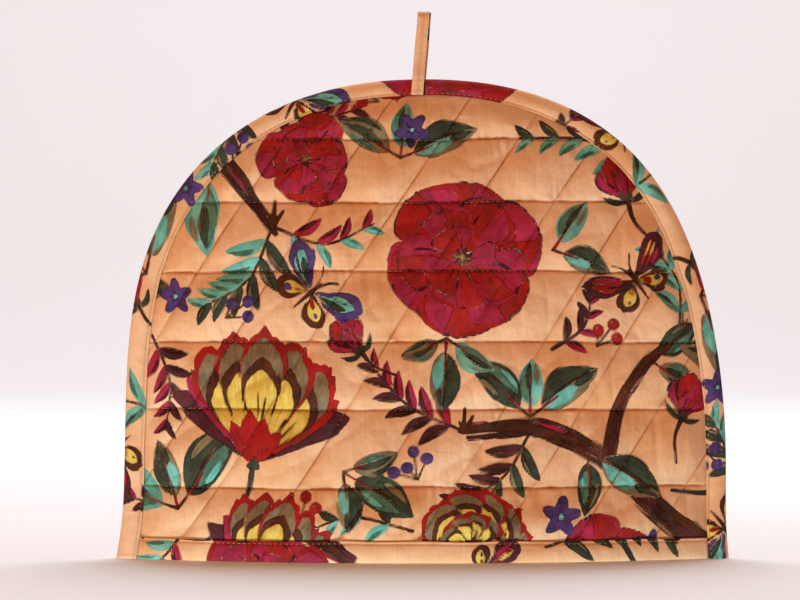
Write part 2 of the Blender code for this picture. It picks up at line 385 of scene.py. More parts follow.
BANDS = (
    ("crimson", 1.06, 1.10, 0.0022),
    ("taupe", 0.99, 0.98, 0.0007),
    ("brown", 0.83, 0.88, 0.0010),
    ("mustard", 0.74, 0.72, 0.0012),
)
RIBS = (
    ("brown", 0.10, 0.07, 0.2, 0.75),
    ("brown", -0.35, 0.06, 0.3, 0.7),
    ("crimson", 0.0, 0.35, 0.0, 0.34),
)


def banded_petal(cloth, place, angle, length, width, bend=0.0):
    """A petal in bands: a torn red edge, a grey tip, a brown scallop and a yellow tongue with ribs."""
    for ink, long, wide, fray in BANDS:
        marks = ((ink, *WHOLE),)
        blade(cloth, place, angle, long * length, wide * width, marks, bend, BANDED_FULL, fray)
    blade(cloth, place, angle, 0.74 * length, 0.72 * width, RIBS, bend, BANDED_FULL, 0.0008)


def tulip(cloth, place, size, turn):
    """A parrot tulip: a fan of banded petals between two plum ones, on a stalk with a long leaf."""
    for lean, ink in ((1.02, "plum"), (-1.02, "plum"), (0.80, "magenta"), (-0.84, "crimson")):
        marks = ((ink, *WHOLE),)
        blade(cloth, place, turn + lean, 0.86 * size, 0.30 * size, marks, -0.1 * lean, 1.3, 0.0012)
    for lean in (0.52, -0.56, 0.26, -0.28, 0.0):
        long = size * (1.0 - 0.12 * abs(lean))
        banded_petal(cloth, place, turn + lean, long, 0.36 * size, 0.05 * lean)
    for lean, long in ((0.62, 0.36), (-0.60, 0.34), (0.2, 0.42), (-0.15, 0.38)):
        blade(cloth, place, turn + lean, long * size, 0.15 * size, (("crimson", *WHOLE),), 0.0, 1.2, 0.0012)
    stem = [place, polar(place, turn + 3.0, 0.35 * size), polar(place, turn + 2.7, 0.8 * size)]
    stroke(cloth, "green", stem, (0.0035, 0.0022))
    blob(cloth, "green", place, 0.05 * size, 3, 0.2, turn)


def dahlia(cloth, place, radius, turn, spread=2.0 * math.pi, count=10):
    """Two rings of banded petals round a plum heart, or a part of them."""
    for ring, reach in enumerate((1.0, 0.62)):
        for n in range(count):
            angle = turn + spread * (n + 0.5 * ring) / count
            banded_petal(cloth, place, angle, reach * radius, 1.35 * reach * radius * spread / count)
    blob(cloth, "plum", place, 0.19 * radius, 9, 0.15, turn)
    tuft(cloth, "crimson", place, turn, 5.5, 8, 0.14 * radius, 0.0014)


def rosebud(cloth, place, size, turn):
    """A half-open bud: petals that wrap each other, sepals and a stalk."""
    for lean, long, broad, ink in (
        (0.50, 0.86, 0.50, "magenta"),
        (-0.46, 0.90, 0.52, "crimson"),
        (0.06, 1.00, 0.60, "crimson"),
        (-0.14, 0.66, 0.40, "magenta"),
    ):
        petal(cloth, place, turn + lean, size * long, size * broad, ink, -0.12 * lean)
    for lean, long in ((-1.15, 0.5), (1.05, 0.55), (0.35, 0.3), (-0.4, 0.28)):
        blade(cloth, place, turn + lean, long * size, 0.13 * size, (("green", *WHOLE),), 0.12 * lean)
    down = turn + math.pi
    stem = [place, polar(place, down, 0.4 * size), polar(place, down + 0.25, 0.9 * size)]
    stroke(cloth, "brown", stem, (0.0028, 0.0016))


def floret(cloth, place, radius, turn):
    """A small five-petalled violet flower with a pale eye."""
    blob(cloth, "violet", place, radius, 5, 0.28, turn, 0.0006)
    tuft(cloth, "plum", place, turn, 5.2, 5, 0.6 * radius, 0.0011)
    blob(cloth, "turquoise", place, 0.22 * radius)


# %% Butterflies, leaves, sprays and branches
FORE_WING = (
    ("plum", *WHOLE),
    ("crimson", 0.10, 0.60, 0.06, 0.84),
    ("magenta", -0.42, 0.26, 0.20, 0.80),
    ("mustard", 0.30, 0.10, 0.45, 0.78),
    ("mustard", -0.08, 0.10, 0.52, 0.82),
    ("brown", 0.12, 0.07, 0.05, 0.60),
)
HIND_WING = (
    ("brown", *WHOLE),
    ("mustard", 0.0, 0.66, 0.10, 0.82),
    ("crimson", 0.0, 0.30, 0.10, 0.50),
    ("violet", 0.1, 0.22, 0.56, 0.76),
)
COOL_WING = (
    ("violet", *WHOLE),
    ("turquoise", 0.05, 0.60, 0.08, 0.84),
    ("green", -0.15, 0.30, 0.10, 0.66),
    ("plum", 0.3, 0.09, 0.3, 0.8),
)


def butterfly(cloth, place, size, turn, fore=FORE_WING):
    """Two hind wings, two fore wings with torn edges, a body and feelers."""
    for side in (-1.0, 1.0):
        bend = 0.05 * side
        blade(cloth, place, turn + side * 2.10, 0.66 * size, 0.44 * size, HIND_WING, bend, 1.6, 0.0011)
        blade(cloth, place, turn + side * 1.08, size, 0.50 * size, fore, bend, 1.6, 0.0013)
        tip = polar(place, turn + 0.42 * side, 0.5 * size)
        feeler = [place, polar(place, turn + 0.25 * side, 0.3 * size), tip]
        stroke(cloth, "brown", feeler, (0.0013, 0.0011))
    body = [polar(place, turn, 0.22 * size), place, polar(place, turn + math.pi, 0.42 * size)]
    stroke(cloth, "brown", body, (0.05 * size, 0.10 * size, 0.025 * size))


LEAVES = {
    "dark": (
        ("taupe", *WHOLE),
        ("green", 0.46, 0.56, 0.00, 0.98),
        ("turquoise", -0.40, 0.44, 0.04, 0.62),
        ("green", -0.30, 0.34, 0.58, 0.99),
        ("brown", 0.02, 0.07, 0.00, 0.86),
    ),
    "river": (
        ("turquoise", *WHOLE),
        ("leaf", 0.42, 0.52, 0.08, 0.98),
        ("green", 0.16, 0.34, 0.34, 0.99),
        ("taupe", -0.55, 0.30, 0.46, 0.96),
        ("plum", 0.0, 0.06, 0.0, 0.66),
    ),
    "deep": (
        ("green", *WHOLE),
        ("leaf", -0.45, 0.42, 0.12, 0.84),
        ("turquoise", -0.62, 0.22, 0.18, 0.60),
        ("taupe", 0.62, 0.24, 0.34, 0.90),
        ("brown", 0.0, 0.07, 0.0, 0.9),
    ),
    "grey": (
        ("taupe", *WHOLE),
        ("green", 0.05, 0.30, 0.0, 0.96),
        ("green", -0.66, 0.20, 0.30, 0.92),
        ("leaf", 0.62, 0.24, 0.18, 0.74),
    ),
    "plum": (("plum", *WHOLE), ("brown", 0.4, 0.35, 0.1, 0.9)),
    "red": (("magenta", *WHOLE), ("plum", 0.45, 0.36, 0.15, 0.98)),
    "aqua": (("turquoise", *WHOLE), ("leaf", 0.4, 0.4, 0.3, 0.98)),
    "olive": (("green", *WHOLE), ("taupe", -0.45, 0.36, 0.2, 0.85)),
}


def leaf_cluster(cloth, place, turn, length, kinds, spread=1.9):
    """Broad leaves fanned from one place on short red stalks."""
    for n, kind in enumerate(kinds):
        angle = turn + spread * (n / max(1, len(kinds) - 1) - 0.5)
        long = length * (1.0 + 0.20 * math.sin(2.7 * n + turn))
        foot = polar(place, angle, 0.20 * long)
        stroke(cloth, "crimson" if n % 2 else "brown", [place, foot], (0.0021, 0.0016))
        bend = 0.09 * math.sin(1.9 * n + 1.0)
        blade(cloth, foot, angle, long, 0.50 * long, LEAVES[kind], bend, 0.85, 0.0007)
        rib = [foot, polar(foot, angle + 0.5 * bend, 0.3 * long)]
        stroke(cloth, "crimson", rib, (0.0016, 0.0010), 0.0001)


def spray(cloth, points, length, kinds, stalk="brown", pairs=5):
    """A thin stalk with pairs of leaflets that shorten towards its tip."""
    path = smooth_path(points)
    stroke(cloth, stalk, points, (0.0021, 0.0014))
    for n in range(pairs):
        at = (n + 0.8) / pairs * (len(path) - 2)
        low = path[int(at)]
        high = path[int(at) + 1]
        place = low + (high - low) * (at - int(at))
        heading = math.atan2(high[1] - low[1], high[0] - low[0])
        long = length * (1.0 - 0.45 * n / pairs)
        for side in (-1.0, 1.0):
            kind = kinds[(2 * n + (side > 0)) % len(kinds)]
            angle = heading + side * (0.95 - 0.08 * n)
            blade(cloth, place, angle, long, 0.30 * long + 0.0008, LEAVES[kind], -0.08 * side, 0.9, 0.0003)


BARK = (("plum", 0.24, 0.42, 0.0), ("brown", 0.30, 0.10, 0.1), ("magenta", -0.22, 0.16, 0.3))


def branch(cloth, points, widths):
    """A rough branch: brown, with a plum shadow below it, magenta lights above and a torn tip. A mark of
    the bark has an ink, a shift, a share of the width, and the part of the branch left out."""
    stroke(cloth, "brown", points, widths, 0.0016)
    for ink, shift, share, drop in BARK:
        moved = [(s + shift * widths[0] * 0.5, t - shift * widths[0]) for s, t in points]
        first = int(drop * len(points))
        stroke(cloth, ink, moved[first:], [share * width for width in widths], 0.0014)
    tuft(cloth, "brown", points[-1], 1.4, 1.0, 3, 1.6 * widths[-1] + 0.003, 0.4 * widths[-1] + 0.0008)


def berries(cloth, place, turn, count, ink="violet"):
    """Berries at the ends of a fan of thin stalks."""
    for n in range(count):
        angle = turn + 0.55 * (n - 0.5 * (count - 1))
        tip = polar(place, angle, 0.013 + 0.004 * math.sin(2.2 * n))
        stroke(cloth, "brown", [place, tip], (0.0014, 0.0013))
        blob(cloth, ink, tip, 0.0036)
        blob(cloth, "turquoise", polar(tip, 2.2, 0.0013), 0.0010, fray=0.0)


# %% [markdown]
# The design itself is a page of placements, in metres on the cloth. It repeats every 42 cm across
# and 36 cm up. The front panel shows the middle of one repeat, the back panel is cut from further
# along, and the strips are cut across it, so they show slices of flowers and leaves.

# %% The design
BRANCHES = (
    (
        ((0.180, -0.004), (0.136, 0.030), (0.100, 0.060), (0.062, 0.076), (0.022, 0.074)),
        (0.017, 0.014, 0.011, 0.006),
    ),
    (((0.104, 0.056), (0.112, 0.088), (0.130, 0.114), (0.152, 0.132)), (0.009, 0.006, 0.003)),
    (((-0.212, 0.270), (-0.160, 0.256), (-0.118, 0.230), (-0.084, 0.190)), (0.015, 0.013, 0.007)),
    (((-0.134, 0.242), (-0.118, 0.262), (-0.092, 0.280)), (0.008, 0.003)),
    (((0.010, 0.300), (0.060, 0.322), (0.118, 0.318), (0.160, 0.340)), (0.014, 0.011, 0.005)),
    (((-0.185, 0.020), (-0.200, 0.060), (-0.190, 0.095)), (0.011, 0.008, 0.004)),
)
SPRAYS = (
    (((0.022, 0.074), (-0.008, 0.088), (-0.030, 0.112)), 0.022, ("red", "plum"), "plum", 6),
    (((0.060, 0.074), (0.044, 0.048), (0.016, 0.032)), 0.023, ("plum", "olive"), "brown", 5),
    (((0.150, 0.130), (0.150, 0.158), (0.134, 0.180)), 0.022, ("aqua", "river"), "green", 4),
    (((-0.084, 0.190), (-0.054, 0.180), (-0.026, 0.192)), 0.020, ("aqua", "red"), "brown", 4),
    (((-0.084, 0.190), (-0.098, 0.160), (-0.126, 0.144)), 0.026, ("aqua", "olive"), "brown", 6),
    (((-0.092, 0.262), (-0.062, 0.252), (-0.036, 0.258)), 0.019, ("plum", "red"), "plum", 5),
    (((0.128, 0.224), (0.094, 0.240), (0.056, 0.240)), 0.022, ("olive", "aqua"), "brown", 5),
    (((-0.158, 0.128), (-0.148, 0.102), (-0.152, 0.074)), 0.020, ("red", "plum"), "plum", 5),
    (((-0.006, 0.018), (-0.040, 0.026), (-0.066, 0.018)), 0.018, ("olive", "aqua"), "brown", 4),
    (((0.200, 0.180), (0.190, 0.220), (0.205, 0.255)), 0.024, ("plum", "red"), "plum", 6),
    (((0.118, 0.318), (0.112, 0.292), (0.086, 0.276)), 0.020, ("aqua", "olive"), "green", 5),
    (((-0.150, 0.330), (-0.110, 0.318), (-0.070, 0.330)), 0.022, ("plum", "olive"), "brown", 6),
    (((0.060, 0.322), (0.040, 0.345), (0.000, 0.352)), 0.020, ("red", "aqua"), "plum", 5),
    (((0.074, 0.120), (0.092, 0.132), (0.098, 0.150)), 0.015, ("red", "plum"), "plum", 4),
)
CLUSTERS = (
    ((0.060, 0.082), 1.5, 0.034, ("dark", "river", "deep"), 1.8),
    ((0.132, 0.114), 0.0, 0.028, ("grey", "deep"), 1.2),
    ((-0.122, 0.224), 3.8, 0.040, ("dark", "deep", "river"), 1.8),
    ((-0.012, 0.230), 1.5, 0.032, ("dark", "river", "grey"), 2.3),
    ((0.094, 0.062), 5.2, 0.036, ("deep", "dark"), 1.1),
    ((0.076, 0.176), 0.3, 0.028, ("dark", "river"), 1.3),
    ((-0.046, 0.052), 5.7, 0.034, ("dark", "deep", "grey"), 1.8),
    ((-0.144, 0.030), 1.9, 0.042, ("deep", "dark", "river"), 2.0),
    ((-0.146, 0.178), 2.3, 0.032, ("river", "dark"), 1.2),
    ((0.014, 0.126), 4.6, 0.030, ("grey", "dark", "river"), 2.2),
    ((0.196, 0.100), 1.5, 0.038, ("dark", "deep", "grey"), 2.4),
    ((-0.195, 0.150), 1.2, 0.036, ("dark", "river", "deep"), 2.2),
    ((0.165, 0.300), 5.0, 0.036, ("deep", "dark", "river"), 2.0),
    ((-0.040, 0.300), 3.4, 0.034, ("dark", "grey"), 1.6),
    ((-0.195, 0.310), 4.6, 0.036, ("river", "dark", "deep"), 2.1),
)
PEONIES = (
    ((0.024, 0.172), 0.046, 0.3),
    ((-0.066, 0.228), 0.027, 1.1, "magenta", "crimson"),
    ((-0.192, 0.206), 0.040, 0.7),
    ((0.110, 0.350), 0.036, 2.0),
)
TULIPS = (((-0.098, 0.056), 0.072, 1.45), ((0.186, 0.046), 0.052, 0.6), ((-0.096, 0.345), 0.054, 1.2))
DAHLIAS = (
    ((0.028, 0.008), 0.032, 0.15, 2.9, 5),
    ((0.150, 0.262), 0.030, 0.1),
    ((-0.020, 0.290), 0.026, 0.5),
)
BUDS = (
    ((0.150, 0.080), 0.028, 1.2),
    ((0.120, 0.204), 0.030, 1.9),
    ((-0.034, 0.118), 0.024, 2.3),
    ((-0.160, 0.290), 0.028, 1.0),
    ((0.030, 0.318), 0.026, 2.6),
    ((0.205, 0.150), 0.026, 0.9),
)
BUTTERFLIES = (
    ((0.124, 0.160), 0.031, 2.2),
    ((-0.062, 0.152), 0.032, 0.7, COOL_WING),
    ((0.076, 0.268), 0.026, 1.1),
    ((0.065, 0.290), 0.030, 2.8, COOL_WING),
    ((-0.185, 0.345), 0.026, 0.4),
)
FLORETS = (
    ((0.078, 0.026), 0.0095, 0.2),
    ((-0.006, 0.246), 0.0080, 0.9),
    ((-0.142, 0.150), 0.0085, 0.4),
    ((0.132, 0.008), 0.0080, 0.1),
    ((0.148, 0.240), 0.0085, 0.5),
    ((-0.020, 0.336), 0.0085, 1.2),
)
BERRY_TWIGS = (
    ((-0.004, 0.046), 2.0, 4, "violet"),
    ((0.100, 0.122), 0.9, 3, "crimson"),
    ((-0.026, 0.262), 2.6, 3, "crimson"),
    ((-0.112, 0.138), 0.6, 3, "violet"),
    ((0.140, 0.226), 0.4, 3, "violet"),
    ((-0.070, 0.022), 1.4, 3, "crimson"),
    ((0.170, 0.230), 1.4, 4, "crimson"),
    ((-0.060, 0.280), 1.2, 3, "violet"),
)


def print_cloth(s, t):
    """The whole design at cloth coordinates s and t, as inks {name: depth} and brush coordinates.
    What comes last lies on top."""
    cloth = blank_cloth(s, t)
    for motif, placements in (
        (spray, SPRAYS),
        (berries, BERRY_TWIGS),
        (branch, BRANCHES),
        (leaf_cluster, CLUSTERS),
        (dahlia, DAHLIAS),
        (tulip, TULIPS),
        (peony, PEONIES),
        (rosebud, BUDS),
        (floret, FLORETS),
        (butterfly, BUTTERFLIES),
    ):
        for row in placements:
            motif(cloth, *row)
    return cloth["inks"], cloth["brush"]


# %% [markdown]
# ## The printed cotton
#
# The shader starts from the apricot ground, a little uneven as dyed cotton is, and lays the inks on
# it in turn. Each ink is cut where its field passes zero, with fine noise that gives the edge the
# tooth of a brush. Ink pools at its edges and streaks along the brush, so its strength varies. The
# weave is a bump of crossing threads at about 30 to the centimetre, with thicker slubs here and there.

# %% Colours
GROUND = (237, 190, 147)
GROUND_WARM = (230, 172, 122)
INK_COLOURS = {
    "taupe": ((140, 122, 92), (104, 88, 60)),
    "mustard": ((232, 204, 100), (206, 164, 60)),
    "turquoise": ((124, 196, 178), (78, 160, 144)),
    "leaf": ((86, 132, 108), (52, 92, 74)),
    "green": ((46, 68, 48), (22, 36, 30)),
    "magenta": ((176, 24, 66), (134, 10, 50)),
    "crimson": ((176, 8, 20), (130, 3, 14)),
    "violet": ((84, 58, 122), (44, 30, 82)),
    "plum": ((86, 18, 40), (48, 10, 26)),
    "brown": ((88, 32, 14), (46, 18, 10)),
}
THREAD = (220, 182, 146)
THREAD_SHADE = (172, 126, 92)
THREAD_PITCH = 0.00034
# Painted shade: the colour that sewn creases and the strips' shaded places are multiplied towards.
PAINTED_SHADE_COLOUR = (0.62, 0.42, 0.30, 1.0)


def linear(colour):
    """A screen colour from 0 to 255 as the linear colour that shaders take."""
    share = np.array(colour, float) / 255.0
    value = np.where(share <= 0.04045, share / 12.92, ((share + 0.055) / 1.055) ** 2.4)
    return (*value.tolist(), 1.0)


# %% Node helpers
def set_inputs(tree, node, inputs):
    """Gives a node its inputs, as values or as sockets to link from."""
    for name, value in inputs.items():
        if isinstance(value, bpy.types.NodeSocket):
            tree.links.new(value, node.inputs[name])
        else:
            node.inputs[name].default_value = value


def add_node(tree, kind, inputs=None, **settings):
    """A new node with its settings and inputs."""
    node = tree.nodes.new("ShaderNode" + kind)
    for name, value in settings.items():
        setattr(node, name, value)
    set_inputs(tree, node, inputs or {})
    return node


def new_material(name):
    """A new material, its node tree and its shader."""
    material = bpy.data.materials.new(name)
    material.use_nodes = True
    return material, material.node_tree, material.node_tree.nodes["Principled BSDF"]


def held_value(tree, name):
    """A value that the mesh holds at its points under that name."""
    return add_node(tree, "Attribute", attribute_name=name).outputs["Fac"]


def arithmetic(tree, operation, first, second=0.0):
    return add_node(tree, "Math", {0: first, 1: second}, operation=operation).outputs[0]


def ramp(tree, value, low, high, bottom=0.0, top=1.0):
    """A value's way from low to high, turned into bottom to top along a smooth step."""
    inputs = {"Value": value, "From Min": low, "From Max": high, "To Min": bottom, "To Max": top}
    return add_node(tree, "MapRange", inputs, interpolation_type="SMOOTHSTEP").outputs["Result"]


def noise(tree, where, scale, detail=2.0, rough=0.5):
    """Noise of that many cells a metre, over cloth coordinates."""
    inputs = {"Vector": where, "Scale": scale, "Detail": detail, "Roughness": rough}
    return add_node(tree, "TexNoise", inputs, noise_dimensions="2D").outputs["Fac"]


def blend_colour(tree, share, first, second, how="MIX"):
    node = add_node(tree, "Mix", {0: share, 6: first, 7: second}, data_type="RGBA", blend_type=how)
    return node.outputs[2]


def stretched(tree, where, across, up, turn=0.0):
    """Cloth coordinates scaled unevenly and turned, for slubs and brush streaks."""
    inputs = {"Vector": where, "Scale": (across, up, 1.0), "Rotation": (0.0, 0.0, turn)}
    return add_node(tree, "Mapping", inputs).outputs["Vector"]


# %% Printed cotton material
EDGE_SOFT = 0.00014
EDGE_BLED = 0.00080
EDGE_TOOTH = 0.0006
EDGE_FRAY = 0.0012
POOL = 0.0013
ROW_LINE = 0.0012
SLANT_LINE = 0.0011
LEVEL_TINT = 0.42
WEAVE_HEIGHT = 0.000018
SLUB_HEIGHT = 0.00004
CROSS_SLUB_HEIGHT = 0.00003
SMALL_CRUMPLES = 0.00042
BROAD_CRUMPLES = 0.0009
CREASE_HEIGHT = -0.00028


def weave(tree, where):
    """Height of a plain weave: the product of a wave of warp threads and a wave of weft threads."""
    turns = math.pi / THREAD_PITCH
    split = add_node(tree, "SeparateXYZ", {"Vector": where})
    warp = arithmetic(tree, "SINE", arithmetic(tree, "MULTIPLY", split.outputs["X"], turns))
    weft = arithmetic(tree, "SINE", arithmetic(tree, "MULTIPLY", split.outputs["Y"], turns))
    return arithmetic(tree, "MULTIPLY", warp, weft)


def centred(tree, value, reach):
    """A noise from 0 to 1 made to run evenly about zero, up to half of reach either way."""
    return arithmetic(tree, "MULTIPLY", arithmetic(tree, "SUBTRACT", value, 0.5), reach)


def total(tree, *values):
    result = values[0]
    for value in values[1:]:
        result = arithmetic(tree, "ADD", result, value)
    return result


def painted(tree, where, ground):
    """The ground with the inks laid on it in turn. An ink's colour runs from its light to its deep tone
    with the brush's streaks, with the wash's cloudiness, and at its edges, where wet paint pools."""
    brush = add_node(tree, "Attribute", attribute_name="brush").outputs["Vector"]
    streak = noise(tree, stretched(tree, brush, 70.0, 900.0), 1.0, 3.0, 0.6)
    fine = noise(tree, where, 1300.0, 3.0, 0.65)
    ragged = total(tree, centred(tree, fine, EDGE_TOOTH), centred(tree, streak, EDGE_FRAY))
    wash = noise(tree, where, 60.0, 3.0, 0.6)
    soft = ramp(tree, noise(tree, where, 75.0, 1.0), 0.42, 0.68, EDGE_SOFT, EDGE_BLED)
    hard = arithmetic(tree, "MULTIPLY", soft, -1.0)
    tone = total(tree, ramp(tree, streak, 0.30, 0.72, 0.0, 0.55), ramp(tree, wash, 0.30, 0.70, -0.1, 0.55))
    colour = ground
    for ink in INKS:
        depth = arithmetic(tree, "ADD", held_value(tree, "ink_" + ink), ragged)
        cover = ramp(tree, depth, hard, soft, 0.0, 0.97)
        pooled = ramp(tree, depth, 0.0, POOL, 0.40, 0.0)
        share = ramp(tree, arithmetic(tree, "ADD", tone, pooled), 0.0, 1.0)
        light, deep = INK_COLOURS[ink]
        colour = blend_colour(tree, cover, colour, blend_colour(tree, share, linear(light), linear(deep)))
    return colour


def sewn_lines(tree, where):
    """How much painted shade the sewn lines get, where thread draws the panel in: most on a sewn line,
    and 0 a millimetre away. The level rows are tinted less, because the swell above them shades them.
    Their distance is an attribute. The slanting rows' distance is worked out from their count, which
    is whole on a row."""
    level = ramp(tree, held_value(tree, "from_row"), 0.0, ROW_LINE, LEVEL_TINT, 0.0)
    count = held_value(tree, "slant_count")
    part = arithmetic(tree, "SUBTRACT", count, arithmetic(tree, "ROUND", count))
    away = arithmetic(tree, "MULTIPLY", arithmetic(tree, "ABSOLUTE", part), SLANT_PITCH)
    # The painted shade on the slanting rows is stronger in some places and weaker in others, at random.
    shade_strength = ramp(tree, noise(tree, where, 24.0, 2.0), 0.35, 0.65, 0.35, 0.95)
    slanting = arithmetic(tree, "MULTIPLY", ramp(tree, away, 0.0, SLANT_LINE, 1.0, 0.0), shade_strength)
    return arithmetic(tree, "MAXIMUM", level, slanting)


def printed_cotton(name, crumpling=1.0, quilted=False):
    """Apricot cotton that wears the inks held in its mesh's attributes. Slubs are thicker stretches of
    yarn: many run up the cloth, a few across. The sewn creases get painted shade, darker and warmer."""
    material, tree, shader = new_material(name)
    where = add_node(tree, "UVMap", uv_map=CLOTH_MAP).outputs["UV"]
    patchy = noise(tree, where, 18.0, 3.0)
    slub_up = noise(tree, stretched(tree, where, 1050.0, 32.0, 0.03), 1.0, 3.0)
    slub_across = noise(tree, stretched(tree, where, 50.0, 1200.0, 0.04), 1.0, 3.0)
    ground = blend_colour(tree, ramp(tree, patchy, 0.35, 0.70), linear(GROUND), linear(GROUND_WARM))
    colour = painted(tree, where, ground)
    yarn = ramp(tree, slub_up, 0.3, 0.7, 0.955, 1.02)
    yarn = arithmetic(tree, "MULTIPLY", yarn, ramp(tree, slub_across, 0.3, 0.7, 0.98, 1.01))
    colour = add_node(tree, "VectorMath", {0: colour, "Scale": yarn}, operation="SCALE").outputs[0]
    # Painted shade: sewn creases, and the strips' shaded places, are darkened and warmed in the colour.
    painted_crease_shade = sewn_lines(tree, where) if quilted else held_value(tree, "painted_crease_shade")
    painted_shade = blend_colour(tree, 1.0, colour, PAINTED_SHADE_COLOUR, "MULTIPLY")
    colour = blend_colour(tree, painted_crease_shade, colour, painted_shade)

    threads = arithmetic(tree, "MULTIPLY", weave(tree, where), WEAVE_HEIGHT)
    slubs = total(tree, centred(tree, slub_up, SLUB_HEIGHT), centred(tree, slub_across, CROSS_SLUB_HEIGHT))
    small = centred(tree, noise(tree, where, 210.0, 3.0, 0.55), SMALL_CRUMPLES * crumpling)
    drawn_out = noise(tree, stretched(tree, where, 95.0, 60.0, 0.5), 1.0, 2.0)
    broad = centred(tree, drawn_out, BROAD_CRUMPLES * crumpling)
    drawn_in = arithmetic(tree, "MULTIPLY", painted_crease_shade, CREASE_HEIGHT)
    height = total(tree, threads, slubs, small, broad, drawn_in)
    bump = add_node(tree, "Bump", {"Strength": 1.0, "Distance": 1.0, "Height": height})
    roughness = ramp(tree, slub_up, 0.3, 0.7, 0.72, 0.86)
    surface = {"Base Color": colour, "Roughness": roughness, "Normal": bump.outputs["Normal"]}
    set_inputs(tree, shader, surface)
    set_inputs(tree, shader, {"Sheen Weight": 0.025, "Sheen Roughness": 0.45, "Specular IOR Level": 0.12})
    return material


def sewing_thread():
    """Pale cotton thread: a fine twist runs round it."""
    material, tree, shader = new_material("Sewing thread")
    where = add_node(tree, "TexCoord").outputs["Object"]
    twist = noise(tree, where, 2600.0, 2.0)
    bump = add_node(tree, "Bump", {"Strength": 0.5, "Distance": 0.0002, "Height": twist})
    colour = blend_colour(tree, twist, linear(THREAD), linear(THREAD_SHADE))
    set_inputs(tree, shader, {"Base Color": colour, "Normal": bump.outputs["Normal"]})
    set_inputs(tree, shader, {"Roughness": 0.7, "Sheen Weight": 0.2})
    return material


quilt_material = printed_cotton("Quilted printed cotton", quilted=True)
strip_material = printed_cotton("Printed cotton strip", 0.6)
loop_material = printed_cotton("Printed cotton loop", 0.5)
thread_material = sewing_thread()
print("inks on the cloth:", len(INKS))

# %% [markdown]
# ## The quilted panels
#
# Each panel is printed cotton, wadding and lining, sewn together in level rows that are crossed by
# slanting ones. Cloth simulation could puff it up, but the rows have known places, so the relief is
# written as a formula instead and stays exactly where the stitches go. The panel bows out between
# the arch's seam and its open hem, each channel swells between two rows, and the thread draws the
# cloth in, which leaves a narrow groove with small puckers running into it.

# %% The arch
ARC_SAMPLES = 6000
ROLL_REACH = 0.72


def arch_point(angle, inset_x, inset_z):
    """A point of the arch's right half: x is a cos^(2/p) and z is b sin^(2/q) of the angle."""
    x = (HALF_WIDTH - inset_x) * np.maximum(0.0, np.cos(angle)) ** (2.0 / POWER_X)
    z = (HEIGHT - inset_z) * np.maximum(0.0, np.sin(angle)) ** (2.0 / POWER_Z)
    return x, z


def seam_half_width(z):
    share = np.clip(z / (HEIGHT - SEAM_Z), 0.0, 1.0)
    return (HALF_WIDTH - SEAM_X) * (1.0 - share**POWER_Z) ** (1.0 / POWER_X)


def seam_height(x):
    share = np.clip(np.abs(x) / (HALF_WIDTH - SEAM_X), 0.0, 1.0)
    return (HEIGHT - SEAM_Z) * (1.0 - share**POWER_X) ** (1.0 / POWER_Z)


def distance_from_seam(x, z):
    """About how far a place is from the arch's seam: the product over the length of its two distances."""
    across = np.maximum(0.0, seam_half_width(z) - np.abs(x))
    above = np.maximum(0.0, seam_height(x) - z)
    return across * above / np.maximum(1e-9, np.hypot(across, above))


def angle_at(z):
    share = np.clip(z / (HEIGHT - SEAM_Z), 0.0, 1.0)
    return np.arcsin(share ** (POWER_Z / 2.0))


def lay(x, y, z):
    """Points of the real, slightly uneven arch: x is widened by the hem's flare and moved by a sway."""
    flare = HEM_FLARE * np.maximum(0.0, 1.0 - z / FLARE_HEIGHT) ** 2
    sway = SWAY * np.sin(2.0 * np.pi * z / SWAY_WAVE)
    return np.stack(np.broadcast_arrays(x * (1.0 + flare / HALF_WIDTH) + sway, y, z), axis=-1)


def half_space(z):
    return HEM_SPACE + (SEAM_SPACE - HEM_SPACE) * smooth_step(HEM_SPACE_FULL, HEM_SPACE_GONE, z)


def bulge(panel, x, z):
    """How far the open hem pushes a panel out: its depth times a rise in z times 1 - |x/half|^power."""
    half = np.maximum(seam_half_width(z), 1e-6)
    across = np.clip(x / half, -1.0, 1.0)
    across = across + panel["skew"] * (1.0 - across * across)
    rise = np.maximum(0.0, 1.0 - (np.maximum(z, 0.0) / (HEIGHT - SEAM_Z)) ** BULGE_POWER_Z)
    drift = 1.0 + UNEVEN_BULGE * np.sin(DRIFT_X * x + DRIFT_Z * z + panel["phase"])
    bow = np.maximum(0.0, 1.0 - np.abs(across) ** BULGE_POWER_X)
    return panel["depth"] * rise**BULGE_TAPER * bow * drift


# %% The quilting's relief
CREST_LOW = 0.90
STEEP_BELOW = 0.66
STEEP_ABOVE = 0.90
GROOVE = 0.0013
GROOVE_WIDTH = 0.0008
SLANT_GROOVE = 0.0006
SLANT_GROOVE_WIDTH = 0.0011
CROSSING = 0.0060
CROSSING_DEPTH = 0.95
FOLD_LEAN = 0.003
SLANT_ROUND = 0.62
PUCKER = 0.0009
PUCKER_ACROSS = 0.0048
PUCKER_REACH = 0.0070
TUCK = 0.0013
TUCK_ACROSS = 0.0120
TUCK_REACH = 0.0120
CRUMPLE = 0.0010
UNEVEN_PUFF = 0.18
ROW_DRIFT = 0.0011
DRIFT_LONG = 0.06
DRIFT_HIGH = 0.05
FAINT = 0.4
FAINT_EVERY = 0.05
PUFF_WIDE = 0.038
PUFF_HIGH = 0.06
PUCKER_LONG = 0.02
TUCK_LONG = 0.05
STRENGTH_EVERY = 0.03
CRUMPLE_TURN = (0.84, 0.54)
CRUMPLE_LONG = 0.040
CRUMPLE_WIDE = 0.016
SMALL_LONG = 0.030
SMALL_WIDE = 0.0085
CRUMPLE_FROM_ROW = 0.007
DETAIL_RISE = 0.006
BINDING_FADE = 0.02
CHANNEL_EDGES = np.array([HEM_BINDING + GAP, *QUILT_ROWS, HEIGHT - SEAM_Z])


